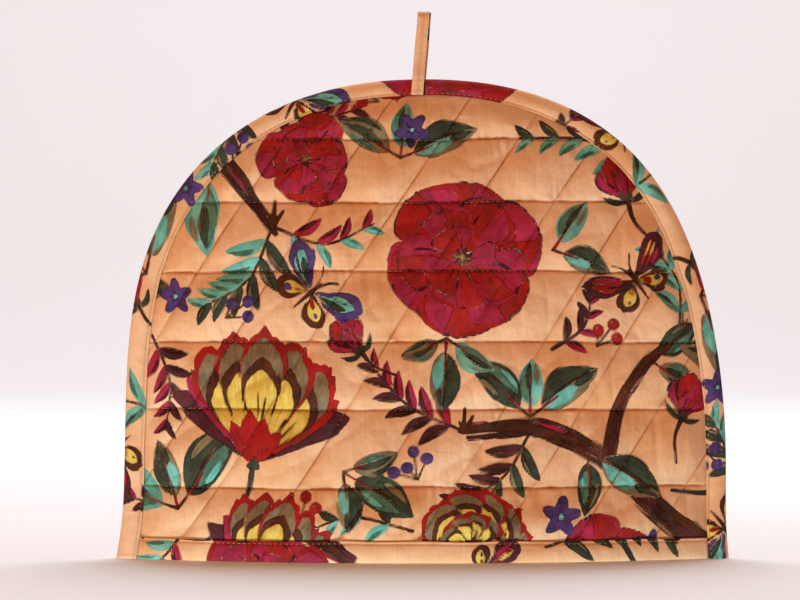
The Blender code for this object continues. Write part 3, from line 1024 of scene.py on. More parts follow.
def channels(z):
    """Each height's channel number, its share of the way up the channel, and its distance to a row."""
    number = np.clip(np.searchsorted(CHANNEL_EDGES, z, side="right") - 1, 0, len(CHANNEL_EDGES) - 2)
    low, high = CHANNEL_EDGES[number], CHANNEL_EDGES[number + 1]
    share = np.clip((z - low) / (high - low), 0.0, 1.0)
    return number, share, np.minimum(np.abs(z - low), np.abs(high - z))


def slant_share(panel, x, z):
    """Where a place lies between slanting rows: whole numbers are on a row."""
    return (-panel["side"] * x - SLANT * z - SLANT_START) / SLANT_PITCH


def swell(panel, x, z):
    """The wadding's fullness, from 0 at a sewn row to about 1. It is sin(pi s^CREST_LOW), so the crest
    lies low in its channel, to a power that makes the lower side steep and the upper side long."""
    number, share, from_row = channels(z)
    steep = STEEP_BELOW + (STEEP_ABOVE - STEEP_BELOW) * share
    crest = np.abs(np.sin(np.pi * share**CREST_LOW)) ** steep
    slant = np.abs(np.sin(np.pi * slant_share(panel, x, z))) ** SLANT_ROUND
    faint = 1.0 + FAINT * soft_noise(x / FAINT_EVERY, z / FAINT_EVERY, panel["seed"] + 1)
    pinched = SLANT_DEPTH * faint
    pinched = pinched + (CROSSING_DEPTH - pinched) * np.exp(-((from_row / CROSSING) ** 2))
    crossed = 1.0 - pinched * (1.0 - slant)
    uneven = 1.0 + UNEVEN_PUFF * soft_noise(x / PUFF_WIDE + 7.0 * number, z / PUFF_HIGH, panel["seed"])
    return np.where(z > CHANNEL_EDGES[0], crest * crossed * uneven, 0.0)


def row_crease(panel, x, z):
    """How deep a place lies in a sewn crease, from 0 to 1, for the level rows and the slanting ones."""
    _, _, from_row = channels(z)
    level = np.exp(-((from_row / GROOVE_WIDTH) ** 2)) * (z > CHANNEL_EDGES[0] + 0.004)
    slant = slant_share(panel, x, z)
    from_slant = np.abs(slant - np.round(slant)) * SLANT_PITCH
    return level, np.exp(-((from_slant / SLANT_GROOVE_WIDTH) ** 2))


def fold_noise(u, v, seed):
    """Crumples with sharp valleys and round backs: 2 |n|^0.8 - 0.75, where n is smooth noise."""
    return 2.0 * np.abs(soft_noise(u, v, seed)) ** 0.8 - 0.75


def stitched_detail(panel, x, z):
    """Grooves under the thread, puckers that run into the level rows, and soft crumples between."""
    number, share, from_row = channels(z)
    seed = panel["seed"]
    level, slanting = row_crease(panel, x, z)
    strength = 0.7 + 0.7 * soft_noise(x / STRENGTH_EVERY, number, seed + 3)
    side_of_row = 2.0 * (share > 0.5)
    along = x + FOLD_LEAN * (share - 0.5)
    pleats = fold_noise(along / PUCKER_ACROSS + 9.0 * number + side_of_row, z / PUCKER_LONG, seed + 2)
    pucker = PUCKER * strength * pleats * np.exp(-from_row / PUCKER_REACH)
    tucks = fold_noise(along / TUCK_ACROSS + 5.0 * number + side_of_row, z / TUCK_LONG, seed + 7)
    pucker = pucker + TUCK * strength * tucks * np.exp(-from_row / TUCK_REACH)
    c, s = CRUMPLE_TURN
    turned_x, turned_z = c * x + s * z, c * z - s * x
    crumple = CRUMPLE * fold_noise(turned_x / CRUMPLE_LONG, turned_z / CRUMPLE_WIDE, seed + 4)
    small = fold_noise(along / SMALL_WIDE + 3.0 * number, z / SMALL_LONG, seed + 5)
    crumple = crumple + 0.5 * CRUMPLE * small
    between = np.minimum(1.0, from_row / CRUMPLE_FROM_ROW)
    return pucker + crumple * between - GROOVE * level - SLANT_GROOVE * slanting


def padding(panel, x, z):
    """How far the padding has risen from the seam, from 0 to 1, and what it adds there in full."""
    rise = np.sin(0.5 * np.pi * np.minimum(1.0, distance_from_seam(x, z) / PUFF_RISE))
    return rise, PAD_AT_STITCH - PAD_AT_SEAM + (PAD_AT_CROWN - PAD_AT_STITCH) * swell(panel, x, z)


def outer_y(panel, x, z):
    """Distance of the printed face from the seam's plane."""
    rise, full = padding(panel, x, z)
    detail = stitched_detail(panel, x, z) * smooth_step(HEM_BINDING, HEM_BINDING + DETAIL_RISE, z)
    return half_space(z) + bulge(panel, x, z) + PAD_AT_SEAM + rise * (PUFF_OUTWARDS * full + detail)


def inner_y(panel, x, z):
    """Distance of the lining from the seam's plane. Its puffs fade where the two linings meet."""
    out = bulge(panel, x, z)
    rise, full = padding(panel, x, z)
    puff = (1.0 - PUFF_OUTWARDS) * rise * full
    return half_space(z) + out - puff * out / (out + LINING_FADE)


def roll(share):
    """Height of cloth folded softly over an edge, from 0 at the edge: sqrt(1 - (1 - s)^2), where s runs
    from 0 to 1 over ROLL_REACH of the binding's width."""
    s = np.clip(share / ROLL_REACH, 0.0, 1.0)
    return np.sqrt(1.0 - (1.0 - s) ** 2)


def on_panel(panel, x, z, depth, middle, covered=1.0):
    """Points of a panel at a depth from the seam's plane, with the sewn rows wandering a little. Inside
    the bindings the padding is pressed to the roll of the fold: towards the panel's middle at the hem,
    and towards the seam's plane along the arch, where covered is the share of the binding's width."""
    inside = smooth_step(0.0, BINDING_FADE, distance_from_seam(x, z))
    inside = inside * smooth_step(HEM_BINDING, HEM_BINDING + BINDING_FADE, z)
    wander = ROW_DRIFT * soft_noise(x / DRIFT_LONG, z / DRIFT_HIGH, panel["seed"] + 6) * inside
    pressed = (middle + (depth - middle) * roll(z / HEM_BINDING)) * roll(covered)
    return lay(x, panel["side"] * pressed, z + wander)


# %% Grid of one panel
COLUMNS = 304
EDGE_COLUMNS = 8
ROW_STEP = 0.00122
ARC_STEP = 0.0035
CLOSE_ROWS = 2.2
CLOSE_REACH = 0.0020
LINING_EVERY = 4
EVERY = (slice(None, None, LINING_EVERY), slice(None, None, LINING_EVERY))


def row_heights():
    """Heights of the grid's rows: closer near the sewn rows and where the arch turns over, and with one
    on every sewn row."""
    fine = np.linspace(STRIP + GAP, HEIGHT - SEAM_Z, ARC_SAMPLES)
    x, z = arch_point(angle_at(fine), SEAM_X, SEAM_Z)
    arc = np.hypot(np.diff(x), np.diff(z))
    from_row = channels(fine[1:])[2]
    close = 1.0 + CLOSE_ROWS * np.exp(-((from_row / CLOSE_REACH) ** 2))
    spans = np.hypot(close * np.diff(fine) / ROW_STEP, arc / ARC_STEP)
    measure = np.concatenate([[0.0], np.cumsum(spans)])
    marks = np.interp([fine[0], *CHANNEL_EDGES], fine, measure)
    heights = [fine[:1]]
    for start, end in zip(marks[:-1], marks[1:]):
        steps = LINING_EVERY * max(1, round((end - start) / LINING_EVERY))
        heights.append(np.interp(np.linspace(start, end, steps + 1)[1:], measure, fine))
    return np.concatenate(heights)


def panel_grid():
    """x and z of a panel's points, and the share of the binding's width that covers them: even columns
    inside the seam, and a few under the binding's fold."""
    angles = angle_at(row_heights())[:, None]
    seam_x, seam_z = arch_point(angles, SEAM_X, SEAM_Z)
    edge_x, edge_z = arch_point(angles, STRIP + GAP, STRIP + GAP)
    inner = np.linspace(-1.0, 1.0, COLUMNS + 1)[None, :]
    out = np.linspace(1.0, 0.0, EDGE_COLUMNS, endpoint=False)[None, :]
    x_edge = seam_x + (edge_x - seam_x) * out
    z_edge = seam_z + (edge_z - seam_z) * out
    x = np.hstack([-x_edge, seam_x * inner, x_edge[:, ::-1]])
    z = np.hstack([z_edge, seam_z + 0.0 * inner, z_edge[:, ::-1]])
    width = 1.0 - out * (1.0 - (STRIP + GAP) / BINDING_AT_TOP)
    covered = np.hstack([width, 0.0 * inner + 1.0, width[:, ::-1]])
    return x, z, covered + 0.0 * x


def rim_faces(rows, columns, first_lining):
    """Faces that join the printed face's sides and hem to the lining's, which has every fourth point of
    them. At the top the two sides meet in a line, so there is no rim."""
    number = np.arange(rows * columns).reshape(rows, columns)
    coarse_rows = (rows - 1) // LINING_EVERY + 1
    coarse_columns = (columns - 1) // LINING_EVERY + 1
    lining = first_lining + np.arange(coarse_rows * coarse_columns).reshape(coarse_rows, coarse_columns)
    edges = ((number[0], lining[0]), (number[:, -1], lining[:, -1]), (number[:, 0], lining[:, 0]))
    faces = []
    for outer, inner in edges:
        for n in range(len(inner) - 1):
            run = outer[LINING_EVERY * n : LINING_EVERY * (n + 1) + 1]
            faces.append([*run.tolist(), int(inner[n + 1]), int(inner[n])])
    return faces


def with_lining(values):
    """Values at the printed face's points, followed by those at the lining's points."""
    return np.concatenate([values.ravel(), values[EVERY].ravel()])


def make_quilt(name):
    """A closed quilted panel: a fine grid for the printed face, and a coarser one for the lining."""
    panel = PANELS[name]
    x, z, covered = panel_grid()
    outer, inner = outer_y(panel, x, z), inner_y(panel, x, z)
    middle = 0.5 * (outer + inner)
    face = on_panel(panel, x, z, outer, middle, covered)
    lining = on_panel(panel, x[EVERY], z[EVERY], inner[EVERY], middle[EVERY], covered[EVERY])
    bow = bulge(panel, x, z)
    across = np.hypot(np.diff(x, axis=1, prepend=x[:, :1]), np.diff(bow, axis=1, prepend=bow[:, :1]))
    across = np.cumsum(across, axis=1)
    s = -panel["side"] * (across - 0.5 * across[:, -1:]) + panel["cut"][0]
    t = z + panel["cut"][1]
    inks, brush = print_cloth(s, t)
    plain = np.full(x[EVERY].size, BARE)
    fields = {"ink_" + ink: np.concatenate([depth, plain]) for ink, depth in inks.items()}
    fields["from_row"] = with_lining(channels(z)[2])
    fields["slant_count"] = with_lining(slant_share(panel, x, z))
    cloth_uv = np.column_stack([with_lining(s), with_lining(t)])
    brush = np.vstack([brush, cloth_uv[x.size :]])
    faces = grid_faces(*x.shape).tolist() + rim_faces(*x.shape, x.size)
    faces += (grid_faces(*lining.shape[:2]) + x.size).tolist()
    points = np.vstack([face.reshape(-1, 3), lining.reshape(-1, 3)])
    piece = cloth_mesh(f"{name}_quilt", points, faces, cloth_uv, fields, brush, quilt_material)
    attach(piece, "root")
    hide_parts(f"{name}_panel")
    triangles = sum(len(polygon.vertices) - 2 for polygon in piece.data.polygons)
    print(piece.name, "triangles:", triangles, "grid:", x.shape)


for name in PANELS:
    make_quilt(name)

# %% [markdown]
# ## The bindings
#
# A binding is a strip of the same cloth folded in four: its raw edges are turned in, and it is
# folded over the panels' edges and sewn down near its inner edges. So its section is a path: in
# from one raw edge, round the turn, out along the face, over the fold, and back the same way on the
# other side. That section is carried along the arch, or along the hem, as one sheet, and Solidify
# gives it the cloth's thickness.

# %% Section of a binding
ROLL_POINTS = 9
SECTION_TURNED = 4
SECTION_BEND = 4
SECTION_FACE = 7
TURN_ROOM = 0.0007
TURNED_SHARE = 0.60
STITCHED_SHARE = 0.885
CROWN_INSET = 0.5 * CLOTH / HEM_BINDING
DOME = 0.0005
DIP = 0.00035
DIP_WIDTH = 0.06
PUCKERED = 0.00055
PUCKERED_EVERY = 0.0048
CREASE_SHADE = 0.35
CREASE_SHADE_WIDTH = 0.04
RIPPLE = 0.00020
RIPPLE_EVERY = 0.006
PUCKER_LEAN = 0.004


def half_section():
    """One side of the section as (inset share, height above the panel): the turned-in edge, the bend at
    the inner edge, the face where it is sewn, and the roll out to the fold's crown."""
    low, high = 0.5 * CLOTH, STRIP - 0.5 * CLOTH
    turn = 1.0 - TURN_ROOM / HEM_BINDING
    turned = [(share, low) for share in np.linspace(TURNED_SHARE, turn, SECTION_TURNED, endpoint=False)]
    bend = []
    for a in np.linspace(-0.5 * math.pi, 0.5 * math.pi, SECTION_BEND + 1):
        height = 0.5 * (low + high) + 0.5 * (high - low) * math.sin(a)
        bend.append((turn + (1.0 - turn) * math.cos(a), height))
    face = [(share, high) for share in np.linspace(turn, ROLL_REACH, SECTION_FACE)[1:]]
    fold = []
    for a in np.linspace(0.0, 0.5 * math.pi, ROLL_POINTS + 1)[1:]:
        fold.append((CROWN_INSET + (ROLL_REACH - CROWN_INSET) * (1.0 - math.sin(a)), high))
    return np.array(turned + bend + face + fold)


HALF_SECTION = half_section()
SECTION = np.vstack([HALF_SECTION, HALF_SECTION[-2::-1]])
SECTION_SIDE = np.where(np.arange(len(SECTION)) < len(HALF_SECTION), -1.0, 1.0)
SECTION_SHADE = CREASE_SHADE * np.exp(-(((SECTION[:, 0] - STITCHED_SHARE) / CREASE_SHADE_WIDTH) ** 2))
print("points across a binding:", len(SECTION))


def face_height(inset, height):
    """Height above the panel, with the outer layer's dome, a half sine wave from the fold to the stitches,
    and the dip that the stitches pull into it."""
    dome = DOME * np.sin(np.pi * np.clip(inset / STITCHED_SHARE, 0.0, 1.0))
    dip = DIP * np.exp(-(((inset - STITCHED_SHARE) / DIP_WIDTH) ** 2))
    return height + np.where(height > 0.5 * STRIP, dome - dip, 0.0)


def crown_roll(inset):
    """The roll of the fold's middle layer, which reaches 0 half a cloth's thickness inside the edge."""
    return roll((inset - CROWN_INSET) * ROLL_REACH / (ROLL_REACH - CROWN_INSET))


def lifted_puckers(run, inset, seed):
    """Small folds across a strip that only rise from it: the part above zero of noise along its run, over
    a half sine wave from the crown to the stitches."""
    rise = np.sin(np.pi * np.clip(inset / STITCHED_SHARE, 0.0, 1.0))
    return PUCKERED * np.maximum(0.0, soft_noise(run / PUCKERED_EVERY, 1.3 * inset, seed)) * rise


def rippled(inset, height, ripple):
    """Height above the panel when the outer layer ripples and the layer under it stays level."""
    return face_height(inset, height) + np.where(height > 0.5 * STRIP, ripple, 0.0)


def strip_piece(name, points, cut, material, shade):
    """A strip of cloth from a grid of middle points (stations, section, 3), printed from its own cut, and
    tinted by the shade that each of its section's points lies in."""
    steps = np.diff(points, axis=0, prepend=points[:1])
    along = np.linalg.norm(steps, axis=2).mean(axis=1, keepdims=True)
    along = np.repeat(np.cumsum(along, axis=0), points.shape[1], axis=1)
    across = np.cumsum(np.linalg.norm(np.diff(points, axis=1, prepend=points[:, :1]), axis=2), axis=1)
    s, t = cut[0] + along, cut[1] + across
    inks, brush = print_cloth(s, t)
    fields = {"ink_" + ink: depth for ink, depth in inks.items()}
    fields["painted_crease_shade"] = (shade[None, :] + 0.0 * along).ravel()
    cloth_uv = np.column_stack([s.ravel(), t.ravel()])
    faces = grid_faces(*points.shape[:2]).tolist()
    piece = cloth_mesh(name, points, faces, cloth_uv, fields, brush, material)
    wall = piece.modifiers.new("Cloth thickness", "SOLIDIFY")
    wall.thickness = CLOTH
    wall.offset = 0.0
    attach(piece, "root")
    width, length = float(across[:, -1].mean()), float(along[-1, 0])
    print(name, "flat in mm:", round(1000.0 * width, 1), "by", round(1000.0 * length, 1))
    return piece, width, length


# %% Arch binding
STATION = 0.00118
ARCH_CUT = (0.062, 0.136)
ARCH_RAGGED = 0.03
ARCH_RAGGED_EVERY = 0.021
ARCH_WAVE = 0.00030
ARCH_WAVE_EVERY = 0.019


def arch_stations():
    """Angle and side of each station, evenly spaced from one hem corner over the top to the other."""
    first = angle_at(STRIP + GAP)
    fine = np.linspace(0.0, 1.0, ARC_SAMPLES) ** 1.5 * (0.5 * np.pi - first) + first
    x, z = arch_point(fine, 0.5 * BINDING_AT_SIDE, 0.5 * BINDING_AT_TOP)
    z[0] = 0.0
    arc = np.concatenate([[0.0], np.cumsum(np.hypot(np.diff(x), np.diff(z)))])
    steps = round(arc[-1] / STATION)
    angles = np.interp(np.linspace(0.0, arc[-1], steps + 1), arc, fine)
    sides = np.concatenate([-np.ones(steps + 1), np.ones(steps)])
    return np.concatenate([angles, angles[-2::-1]]), sides


def arch_binding_points(inset, height, face_side):
    """Points over the arch's stations, at an inset from the arch's edge and a height above the panels."""
    angles, sides = arch_stations()
    angles, sides = angles[:, None], sides[:, None]
    run = np.arange(len(angles))[:, None] * STATION
    uneven = ARCH_RAGGED * soft_noise(run / ARCH_RAGGED_EVERY, 3.0 + face_side, 71)
    ragged = 1.0 + uneven * smooth_step(0.5, 1.0, inset)
    x, z = arch_point(angles, inset * ragged * BINDING_AT_SIDE, inset * ragged * BINDING_AT_TOP)
    z = np.where(angles == angles[0], 0.0, z)
    ripple = RIPPLE * soft_noise(run / RIPPLE_EVERY, 2.0 * inset + 5.0 * face_side, 72)
    ripple = ripple + ARCH_WAVE * soft_noise(run / ARCH_WAVE_EVERY, 3.0 * inset + face_side, 73)
    ripple = ripple + lifted_puckers(run + PUCKER_LEAN * inset, inset, 74)
    leg = half_space(z) + PAD_AT_SEAM + GAP + rippled(inset, height, ripple)
    return lay(sides * x, face_side * crown_roll(inset) * leg, z)


points = arch_binding_points(SECTION[None, :, 0], SECTION[None, :, 1], SECTION_SIDE[None, :])
arch_strip, width, length = strip_piece(
    "arch_strip", points, ARCH_CUT, strip_material, SECTION_SHADE
)
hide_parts("arch_binding")

# %% [markdown]
# The hem's strips use the same section. Their fold is the flat edge that the cosy stands on, and
# each ends where the arch's binding begins.

# %% Hem bindings
HEM_CUTS = {"front": (0.030, 0.322), "back": (0.250, 0.060)}
HEM_RAGGED = 0.035
HEM_RAGGED_EVERY = 0.024
HEM_WAVE = 0.00032
HEM_WAVE_EVERY = 0.020


def hem_binding_points(panel, inset, height, face_side):
    """Points along the hem: the outer leg lies on the printed face, and the inner leg on the lining."""
    half = HALF_WIDTH - SEAM_X
    x = np.linspace(-half, half, round(2.0 * half / STATION) + 1)[:, None]
    uneven = HEM_RAGGED * soft_noise(x / HEM_RAGGED_EVERY, face_side, panel["seed"] + 8)
    ragged = 1.0 + uneven * smooth_step(0.5, 1.0, inset)
    z = HEM_BINDING * inset * ragged
    cloth_z = np.maximum(z, STRIP + GAP)
    ripple = RIPPLE * soft_noise(x / RIPPLE_EVERY, 3.0 * inset, panel["seed"] + 9)
    ripple = ripple + HEM_WAVE * soft_noise(x / HEM_WAVE_EVERY, 2.0 * inset, panel["seed"] + 10)
    run = x + HALF_WIDTH + PUCKER_LEAN * inset
    ripple = ripple + lifted_puckers(run, inset, panel["seed"] + 12)
    lift = GAP + rippled(inset, height, ripple)
    outer = outer_y(panel, x, cloth_z)
    inner = inner_y(panel, x, cloth_z)
    middle = 0.5 * (outer + inner)
    reach = 0.5 * (outer - inner) + lift
    return lay(x, panel["side"] * (middle - face_side * crown_roll(inset) * reach), z)


for name, panel in PANELS.items():
    points = hem_binding_points(panel, SECTION[None, :, 0], SECTION[None, :, 1], SECTION_SIDE[None, :])
    hem_strip, width, length = strip_piece(
        f"{name}_hem_strip", points, HEM_CUTS[name], strip_material, SECTION_SHADE
    )
    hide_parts(f"{name}_hem_binding")

# %% [markdown]
# ## The loop
#
# The loop is a short strip folded in half along its length, bent over the top of the arch and sewn
# to the binding at both ends. Its section is a flat U with the fold on the left, so the open edge
# shows as a dark line on the right: a real narrow step, with painted shade on it.

# %% Hanging loop
LOOP_WIDTH = 0.0078
LOOP_BASE_X = -0.0026
LOOP_LEAN = 0.082
LOOP_HALF_GAP = 0.0026
LOOP_NECK = 0.012
LOOP_STEP = 0.0009
LOOP_SLIT = 0.0009
LOOP_VALLEY = 0.0003
LOOP_VALLEY_WIDTH = 0.0011
LOOP_CUT = (0.022, 0.244)
ON_BINDING = SEAM_SPACE + PAD_AT_SEAM + GAP + STRIP + GAP


def loop_path():
    """The loop's inner face as points (y, z): up the front, round a half circle, and down the back."""
    crown = LOOP_TOP - STRIP - LOOP_HALF_GAP
    foot = HEIGHT - BINDING_AT_TOP
    z = np.linspace(foot, crown, round((crown - foot) / LOOP_STEP))
    y = -ON_BINDING + (ON_BINDING - LOOP_HALF_GAP) * smooth_step(HEIGHT, HEIGHT + LOOP_NECK, z)
    bend = np.linspace(np.pi, 0.0, 11)[1:-1]
    over = np.column_stack([LOOP_HALF_GAP * np.cos(bend), crown + LOOP_HALF_GAP * np.sin(bend)])
    leg = np.column_stack([y, z])
    return np.vstack([leg, over, leg[::-1] * (-1.0, 1.0)])


def loop_frame():
    """The path and its outward direction at each point."""
    path = loop_path()
    run = np.gradient(path, axis=0)
    run = run / np.linalg.norm(run, axis=1, keepdims=True)
    return path, np.column_stack([-run[:, 1], run[:, 0]])


def loop_middle(z):
    """x of the loop's middle at a height, because it leans as it rises."""
    return LOOP_BASE_X + LOOP_LEAN * (z - HEIGHT + BINDING_AT_TOP)


def loop_points(across, height):
    """Points at a place across the loop and a height above its inner face."""
    path, out = loop_frame()
    run = np.arange(len(path))[:, None] * LOOP_STEP
    z = path[:, 1:] + out[:, 1:] * height
    lean = loop_middle(path[:, 1:])
    width = 1.0 + 0.03 * soft_noise(run / 0.008, 1.0, 91)
    wave = 0.0001 * soft_noise(run / 0.004, across / 0.003, 92)
    y = path[:, :1] + out[:, :1] * (height + wave)
    return np.stack(np.broadcast_arrays(lean + across * width, y, z), axis=-1)


def loop_section():
    """The flat U: the inner layer from the open edge, round the fold, and the outer layer back, with a
    shallow valley where its raw edges lie inside. The outer layer is a little narrower, so that a line
    of the inner one shows. That line and the valley are painted in shade."""
    low, high = 0.5 * CLOTH + 0.00005, STRIP - 0.5 * CLOTH
    bend_room = 0.5 * (high - low)
    start, end = 0.5 * LOOP_WIDTH - 0.0001, -0.5 * LOOP_WIDTH + bend_room
    inner = np.linspace(start, end, 13)
    outer = np.linspace(end, start - LOOP_SLIT, 15)
    bend = np.linspace(-0.5 * np.pi, -1.5 * np.pi, 6)[1:-1]
    valley = LOOP_VALLEY * np.exp(-((outer / LOOP_VALLEY_WIDTH) ** 2))
    across = np.concatenate([inner, end + bend_room * np.cos(bend), outer])
    round_bend = low + bend_room + bend_room * np.sin(bend)
    height = np.concatenate([low + 0.0 * inner, round_bend, high - valley])
    # Painted shade on the line of the inner layer that shows, and in the valley.
    in_shade = smooth_step(start - 2.0 * LOOP_SLIT, start - LOOP_SLIT, inner)
    shade = np.concatenate([in_shade, 0.0 * bend, CREASE_SHADE * valley / LOOP_VALLEY])
    return across, height, shade


loop_across, loop_height, loop_shade = loop_section()
points = loop_points(loop_across[None, :], loop_height[None, :])
loop_strip, width, length = strip_piece(
    "loop_strip", points, LOOP_CUT, loop_material, loop_shade
)
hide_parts("hanging_loop")

# %% [markdown]
# ## The sewing
#
# Stitches are what hold the relief, so they are real pieces: each is a short tapered thread that
# rises from the cloth, runs about two and a half millimetres and dips back in. All the stitches of
# one seam are worked out as one array and joined in one mesh.

# %% Stitches as one mesh
STITCH = 0.0024
STITCH_PITCH = 0.0031
THREAD_RADIUS = 0.00015
RINGS = 5
SIDES = 4
SEAM_END = 0.001
TAPER = np.array([0.45, 0.95, 1.0, 0.95, 0.45])
STITCH_LIFT = np.array([-0.00016, 0.00006, 0.00013, 0.00006, -0.00016])


def stitch_mesh(name, centres, outward):
    """Tapered tubes from centres (stitches, rings, 3): each ring is its centre plus the thread's radius
    times a circle in the plane of the outward direction and the one across the stitch."""
    run = np.gradient(centres, axis=1)
    run = run / np.linalg.norm(run, axis=2, keepdims=True)
    across = np.cross(run, outward)
    across = across / np.linalg.norm(across, axis=2, keepdims=True)
    up = np.cross(across, run)
    turn = np.linspace(0.0, 2.0 * np.pi, SIDES, endpoint=False)[None, None, :, None]
    circle = np.cos(turn) * across[:, :, None] + np.sin(turn) * up[:, :, None]
    points = centres[:, :, None] + THREAD_RADIUS * TAPER[None, :, None, None] * circle
    number = np.arange(RINGS * SIDES).reshape(RINGS, SIDES)
    beside = np.roll(number, -1, axis=1)
    walls = np.stack([number[:-1], beside[:-1], beside[1:], number[1:]], axis=-1).reshape(-1, 4)
    caps = np.array([number[0][::-1], number[-1]])
    one = np.vstack([walls, caps])
    faces = (one[None] + (np.arange(len(centres)) * RINGS * SIDES)[:, None, None]).reshape(-1, 4)
    mesh = bpy.data.meshes.new(name)
    mesh.from_pydata(points.reshape(-1, 3), [], faces.tolist())
    turn_outwards(mesh)
    mesh.shade_smooth()
    mesh.materials.append(thread_material)
    piece = add_object(name, mesh)
    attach(piece, "root")
    print(name, "stitches:", len(centres))
    return piece


def stitch_places(length):
    """Where each stitch's rings lie along a seam of that length, as (stitches, rings)."""
    first = np.arange(SEAM_END, length - STITCH - SEAM_END, STITCH_PITCH)
    return first[:, None] + np.linspace(0.0, STITCH, RINGS)[None, :]


# %% Quilting stitches
ROW_END = 0.0015
SLANT_FOOT = HEM_BINDING + 0.002


def quilting(name):
    """Stitches of the level rows, and of the slanting rows inside the arch, on a panel's face."""
    panel = PANELS[name]
    xs, zs = [], []
    for row in QUILT_ROWS:
        half = float(seam_half_width(np.array(row))) - ROW_END
        x = stitch_places(2.0 * half) - half
        xs.append(x)
        zs.append(np.full_like(x, row))
    reach = math.ceil((2.0 * HALF_WIDTH + SLANT * HEIGHT) / SLANT_PITCH)
    steep = math.hypot(1.0, SLANT)
    for n in range(-reach, reach):
        z = SLANT_FOOT + stitch_places((HEIGHT - HEM_BINDING) * steep) / steep
        x = -panel["side"] * (SLANT * z + SLANT_START + n * SLANT_PITCH)
        inside = (distance_from_seam(x, z) > ROW_END).all(axis=1)
        xs.append(x[inside])
        zs.append(z[inside])
    x, z = np.vstack(xs), np.vstack(zs)
    face = outer_y(panel, x, z) + STITCH_LIFT[None, :]
    centres = on_panel(panel, x, z, face, face)
    outward = np.broadcast_to((0.0, float(panel["side"]), 0.0), centres.shape)
    return stitch_mesh(f"{name}_quilting", centres, outward)


for name in PANELS:
    quilting(name)

# %% Edge stitches of the bindings
def carried(places, run, values):
    """Values (n, 3) known at distances run along a line, read at other places."""
    return np.stack([np.interp(places, run, values[:, axis]) for axis in range(3)], axis=-1)


def resampled(line, places):
    """Points at distances along a line of points (n, 3)."""
    run = np.concatenate([[0.0], np.cumsum(np.linalg.norm(np.diff(line, axis=0), axis=1))])
    return carried(places, run, line), run[-1]


def edge_stitching(name, line, side):
    """Stitches along a line of points that lie on the middle of the cloth, facing to a side in y."""
    length = resampled(line, np.zeros(1))[1]
    centres, _ = resampled(line, stitch_places(length))
    lift = 0.5 * CLOTH + STITCH_LIFT
    centres = centres + np.stack([0.0 * lift, side * lift, 0.0 * lift], axis=-1)[None]
    outward = np.broadcast_to((0.0, float(side), 0.0), centres.shape)
    return stitch_mesh(name, centres, outward)


for name, panel in PANELS.items():
    side = panel["side"]
    share = np.full((1, 1), STITCHED_SHARE)
    top = np.full((1, 1), STRIP - 0.5 * CLOTH)
    line = arch_binding_points(share, top, float(side))[:, 0]
    edge_stitching(f"{name}_arch_stitching", line, side)
    line = hem_binding_points(panel, share, top, -1.0)[:, 0]
    edge_stitching(f"{name}_hem_stitching", line, side)

# %% Stitches that hold the loop
EDGE_SEAM = 0.5 * LOOP_WIDTH - 0.0019
FOOT_ROWS = (HEIGHT - BINDING_AT_TOP + 0.0022, HEIGHT - 0.0012)
FOOT_MARGIN = 0.0008
FOOT_PITCH = 0.0026
FOOT_STITCH = 0.8 * STITCH


def loop_stitches():
    """Two short rows across each foot of the loop, and one along its open edge."""
    top = STRIP - 0.5 * CLOTH
    edge = loop_points(np.array([[EDGE_SEAM]]), np.array([[top]]))[:, 0]
    path, out = loop_frame()
    places = stitch_places(LOOP_STEP * (len(path) - 1))
    run = np.arange(len(path)) * LOOP_STEP
    normal = carried(places, run, np.column_stack([0.0 * out[:, 0], out]))
    centres = carried(places, run, edge) + normal * (0.5 * CLOTH + STITCH_LIFT)[None, :, None]
    rows, normals = [centres], [normal]
    for height in FOOT_ROWS:
        for side in (-1.0, 1.0):
            first = np.arange(FOOT_MARGIN - 0.5 * LOOP_WIDTH, 0.5 * LOOP_WIDTH - STITCH, FOOT_PITCH)
            across = first[:, None] + np.linspace(0.0, FOOT_STITCH, RINGS)[None, :]
            y = side * (ON_BINDING + STRIP + STITCH_LIFT[None, :]) + 0.0 * across
            x = loop_middle(height) + across
            rows.append(np.stack([x, y, np.full_like(across, height)], axis=-1))
            normals.append(np.broadcast_to((0.0, side, 0.0), rows[-1].shape))
    return stitch_mesh("loop_stitching", np.vstack(rows), np.vstack(normals))


loop_stitches()

# %% [markdown]
# ## Studio
#
# The cosy stands on a pale floor that curves up, far behind it, into a pale wall. In the photograph
# the light comes in low from the cosy's foot and a little from the left: it lights the lower half of
# each puff and leaves the cloth under each sewn row in shade. So the main light is a soft one that
# shines up from below the floor, before the hem: on the floor it would light the lowest cloth flatly.
# The floor is told to cast no shadow, so that this light passes it. A second light from the front left
# and a warm sky fill the shadows, one overhead and one at the wall keep floor and wall pale, and a weak
# one lights the back for whoever walks round. The camera looks squarely at the front from a distance,
# with a long lens.

# %% Floor and wall
STAGE_HALF = 9.0
STAGE_FRONT = -9.0
WALL_AT = 7.0
WALL_BEND = 3.0
WALL_TOP = 7.0
FLOOR_COLOUR = (230, 233, 238)


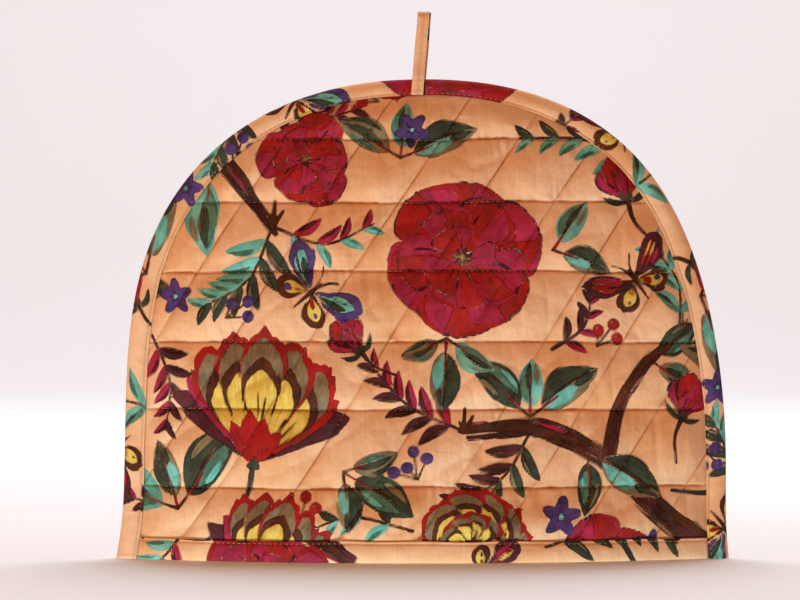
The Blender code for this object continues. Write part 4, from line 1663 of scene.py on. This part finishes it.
def make_stage():
    """A sheet that runs level, turns up through a quarter circle and goes on as a wall."""
    turn = np.linspace(0.0, 0.5 * np.pi, 40)
    y = np.concatenate([[STAGE_FRONT, 0.0], WALL_AT - WALL_BEND + WALL_BEND * np.sin(turn), [WALL_AT]])
    z = np.concatenate([[0.0, 0.0], WALL_BEND - WALL_BEND * np.cos(turn), [WALL_TOP]])
    x = np.array([-STAGE_HALF, STAGE_HALF])
    points = np.stack(np.broadcast_arrays(x[None, :], y[:, None], z[:, None]), axis=-1)
    mesh = bpy.data.meshes.new("floor")
    mesh.from_pydata(points.reshape(-1, 3), [], grid_faces(*points.shape[:2]).tolist())
    mesh.shade_smooth()
    material, tree, shader = new_material("Pale floor")
    look = {"Base Color": linear(FLOOR_COLOUR), "Roughness": 0.9, "Specular IOR Level": 0.1}
    set_inputs(tree, shader, look)
    mesh.materials.append(material)
    floor = add_object("floor", mesh, bpy.context.scene.collection)
    floor.visible_shadow = False


make_stage()


# %% Lights
def area_light(name, place, target, size, watts, colour):
    """A soft light of a size across and deep, turned to a target."""
    data = bpy.data.lights.new(name, "AREA")
    data.shape = "RECTANGLE"
    data.size, data.size_y = size
    data.energy = watts
    data.color = colour
    lamp = add_object(name, data, bpy.context.scene.collection)
    lamp.location = place
    way = mathutils.Vector(target) - mathutils.Vector(place)
    lamp.rotation_euler = way.to_track_quat("-Z", "Y").to_euler()
    lamp.visible_camera = False


area_light("low", (-0.12, -0.38, -0.62), (0.0, -0.02, 0.16), (0.60, 0.36), 7.3, (0.54, 0.84, 1.0))
area_light("left", (-1.0, -1.4, 0.30), (0.0, 0.0, 0.12), (0.8, 0.8), 9.0, (1.0, 0.68, 0.46))
area_light("over", (0.2, 1.5, 2.6), (0.0, -0.2, 0.0), (3.0, 2.0), 100.0, (0.86, 0.95, 1.0))
area_light("wall", (0.0, 3.0, 3.6), (0.0, 7.0, 1.2), (5.0, 1.5), 165.0, (0.86, 0.95, 1.0))
area_light("behind", (0.9, 1.3, 0.55), (0.0, 0.0, 0.12), (0.8, 0.8), 2.0, (1.0, 0.90, 0.80))
SKY = (1.0, 0.47, 0.25, 1.0)
SKY_STRENGTH = 0.41
world = bpy.data.worlds.new("Studio")
world.use_nodes = True
sky = world.node_tree.nodes["Background"]
set_inputs(world.node_tree, sky, {"Color": SKY, "Strength": SKY_STRENGTH})
bpy.context.scene.world = world
bpy.context.scene.view_settings.view_transform = "Standard"

# %% Camera
PICTURE_WIDTH = 800
PICTURE_HEIGHT = 600
PHOTO_HEM_Y = 558
PHOTO_CENTRE_X = 422.5
PHOTO_SCALE = 0.0005745
CAMERA_BACK = 2.2

camera_data = bpy.data.cameras.new("camera")
camera_data.sensor_width = 36.0
camera_data.lens = camera_data.sensor_width * CAMERA_BACK / (PICTURE_WIDTH * PHOTO_SCALE)
camera = bpy.data.objects.new("camera", camera_data)
bpy.context.scene.collection.objects.link(camera)
camera_x = (0.5 * PICTURE_WIDTH - PHOTO_CENTRE_X) * PHOTO_SCALE
camera_z = (PHOTO_HEM_Y - 0.5 * PICTURE_HEIGHT) * PHOTO_SCALE
camera.location = (camera_x, -CAMERA_BACK, camera_z)
camera.rotation_euler = (math.radians(90.0), 0.0, 0.0)
bpy.context.scene.camera = camera
print("lens in mm:", round(camera_data.lens, 1))
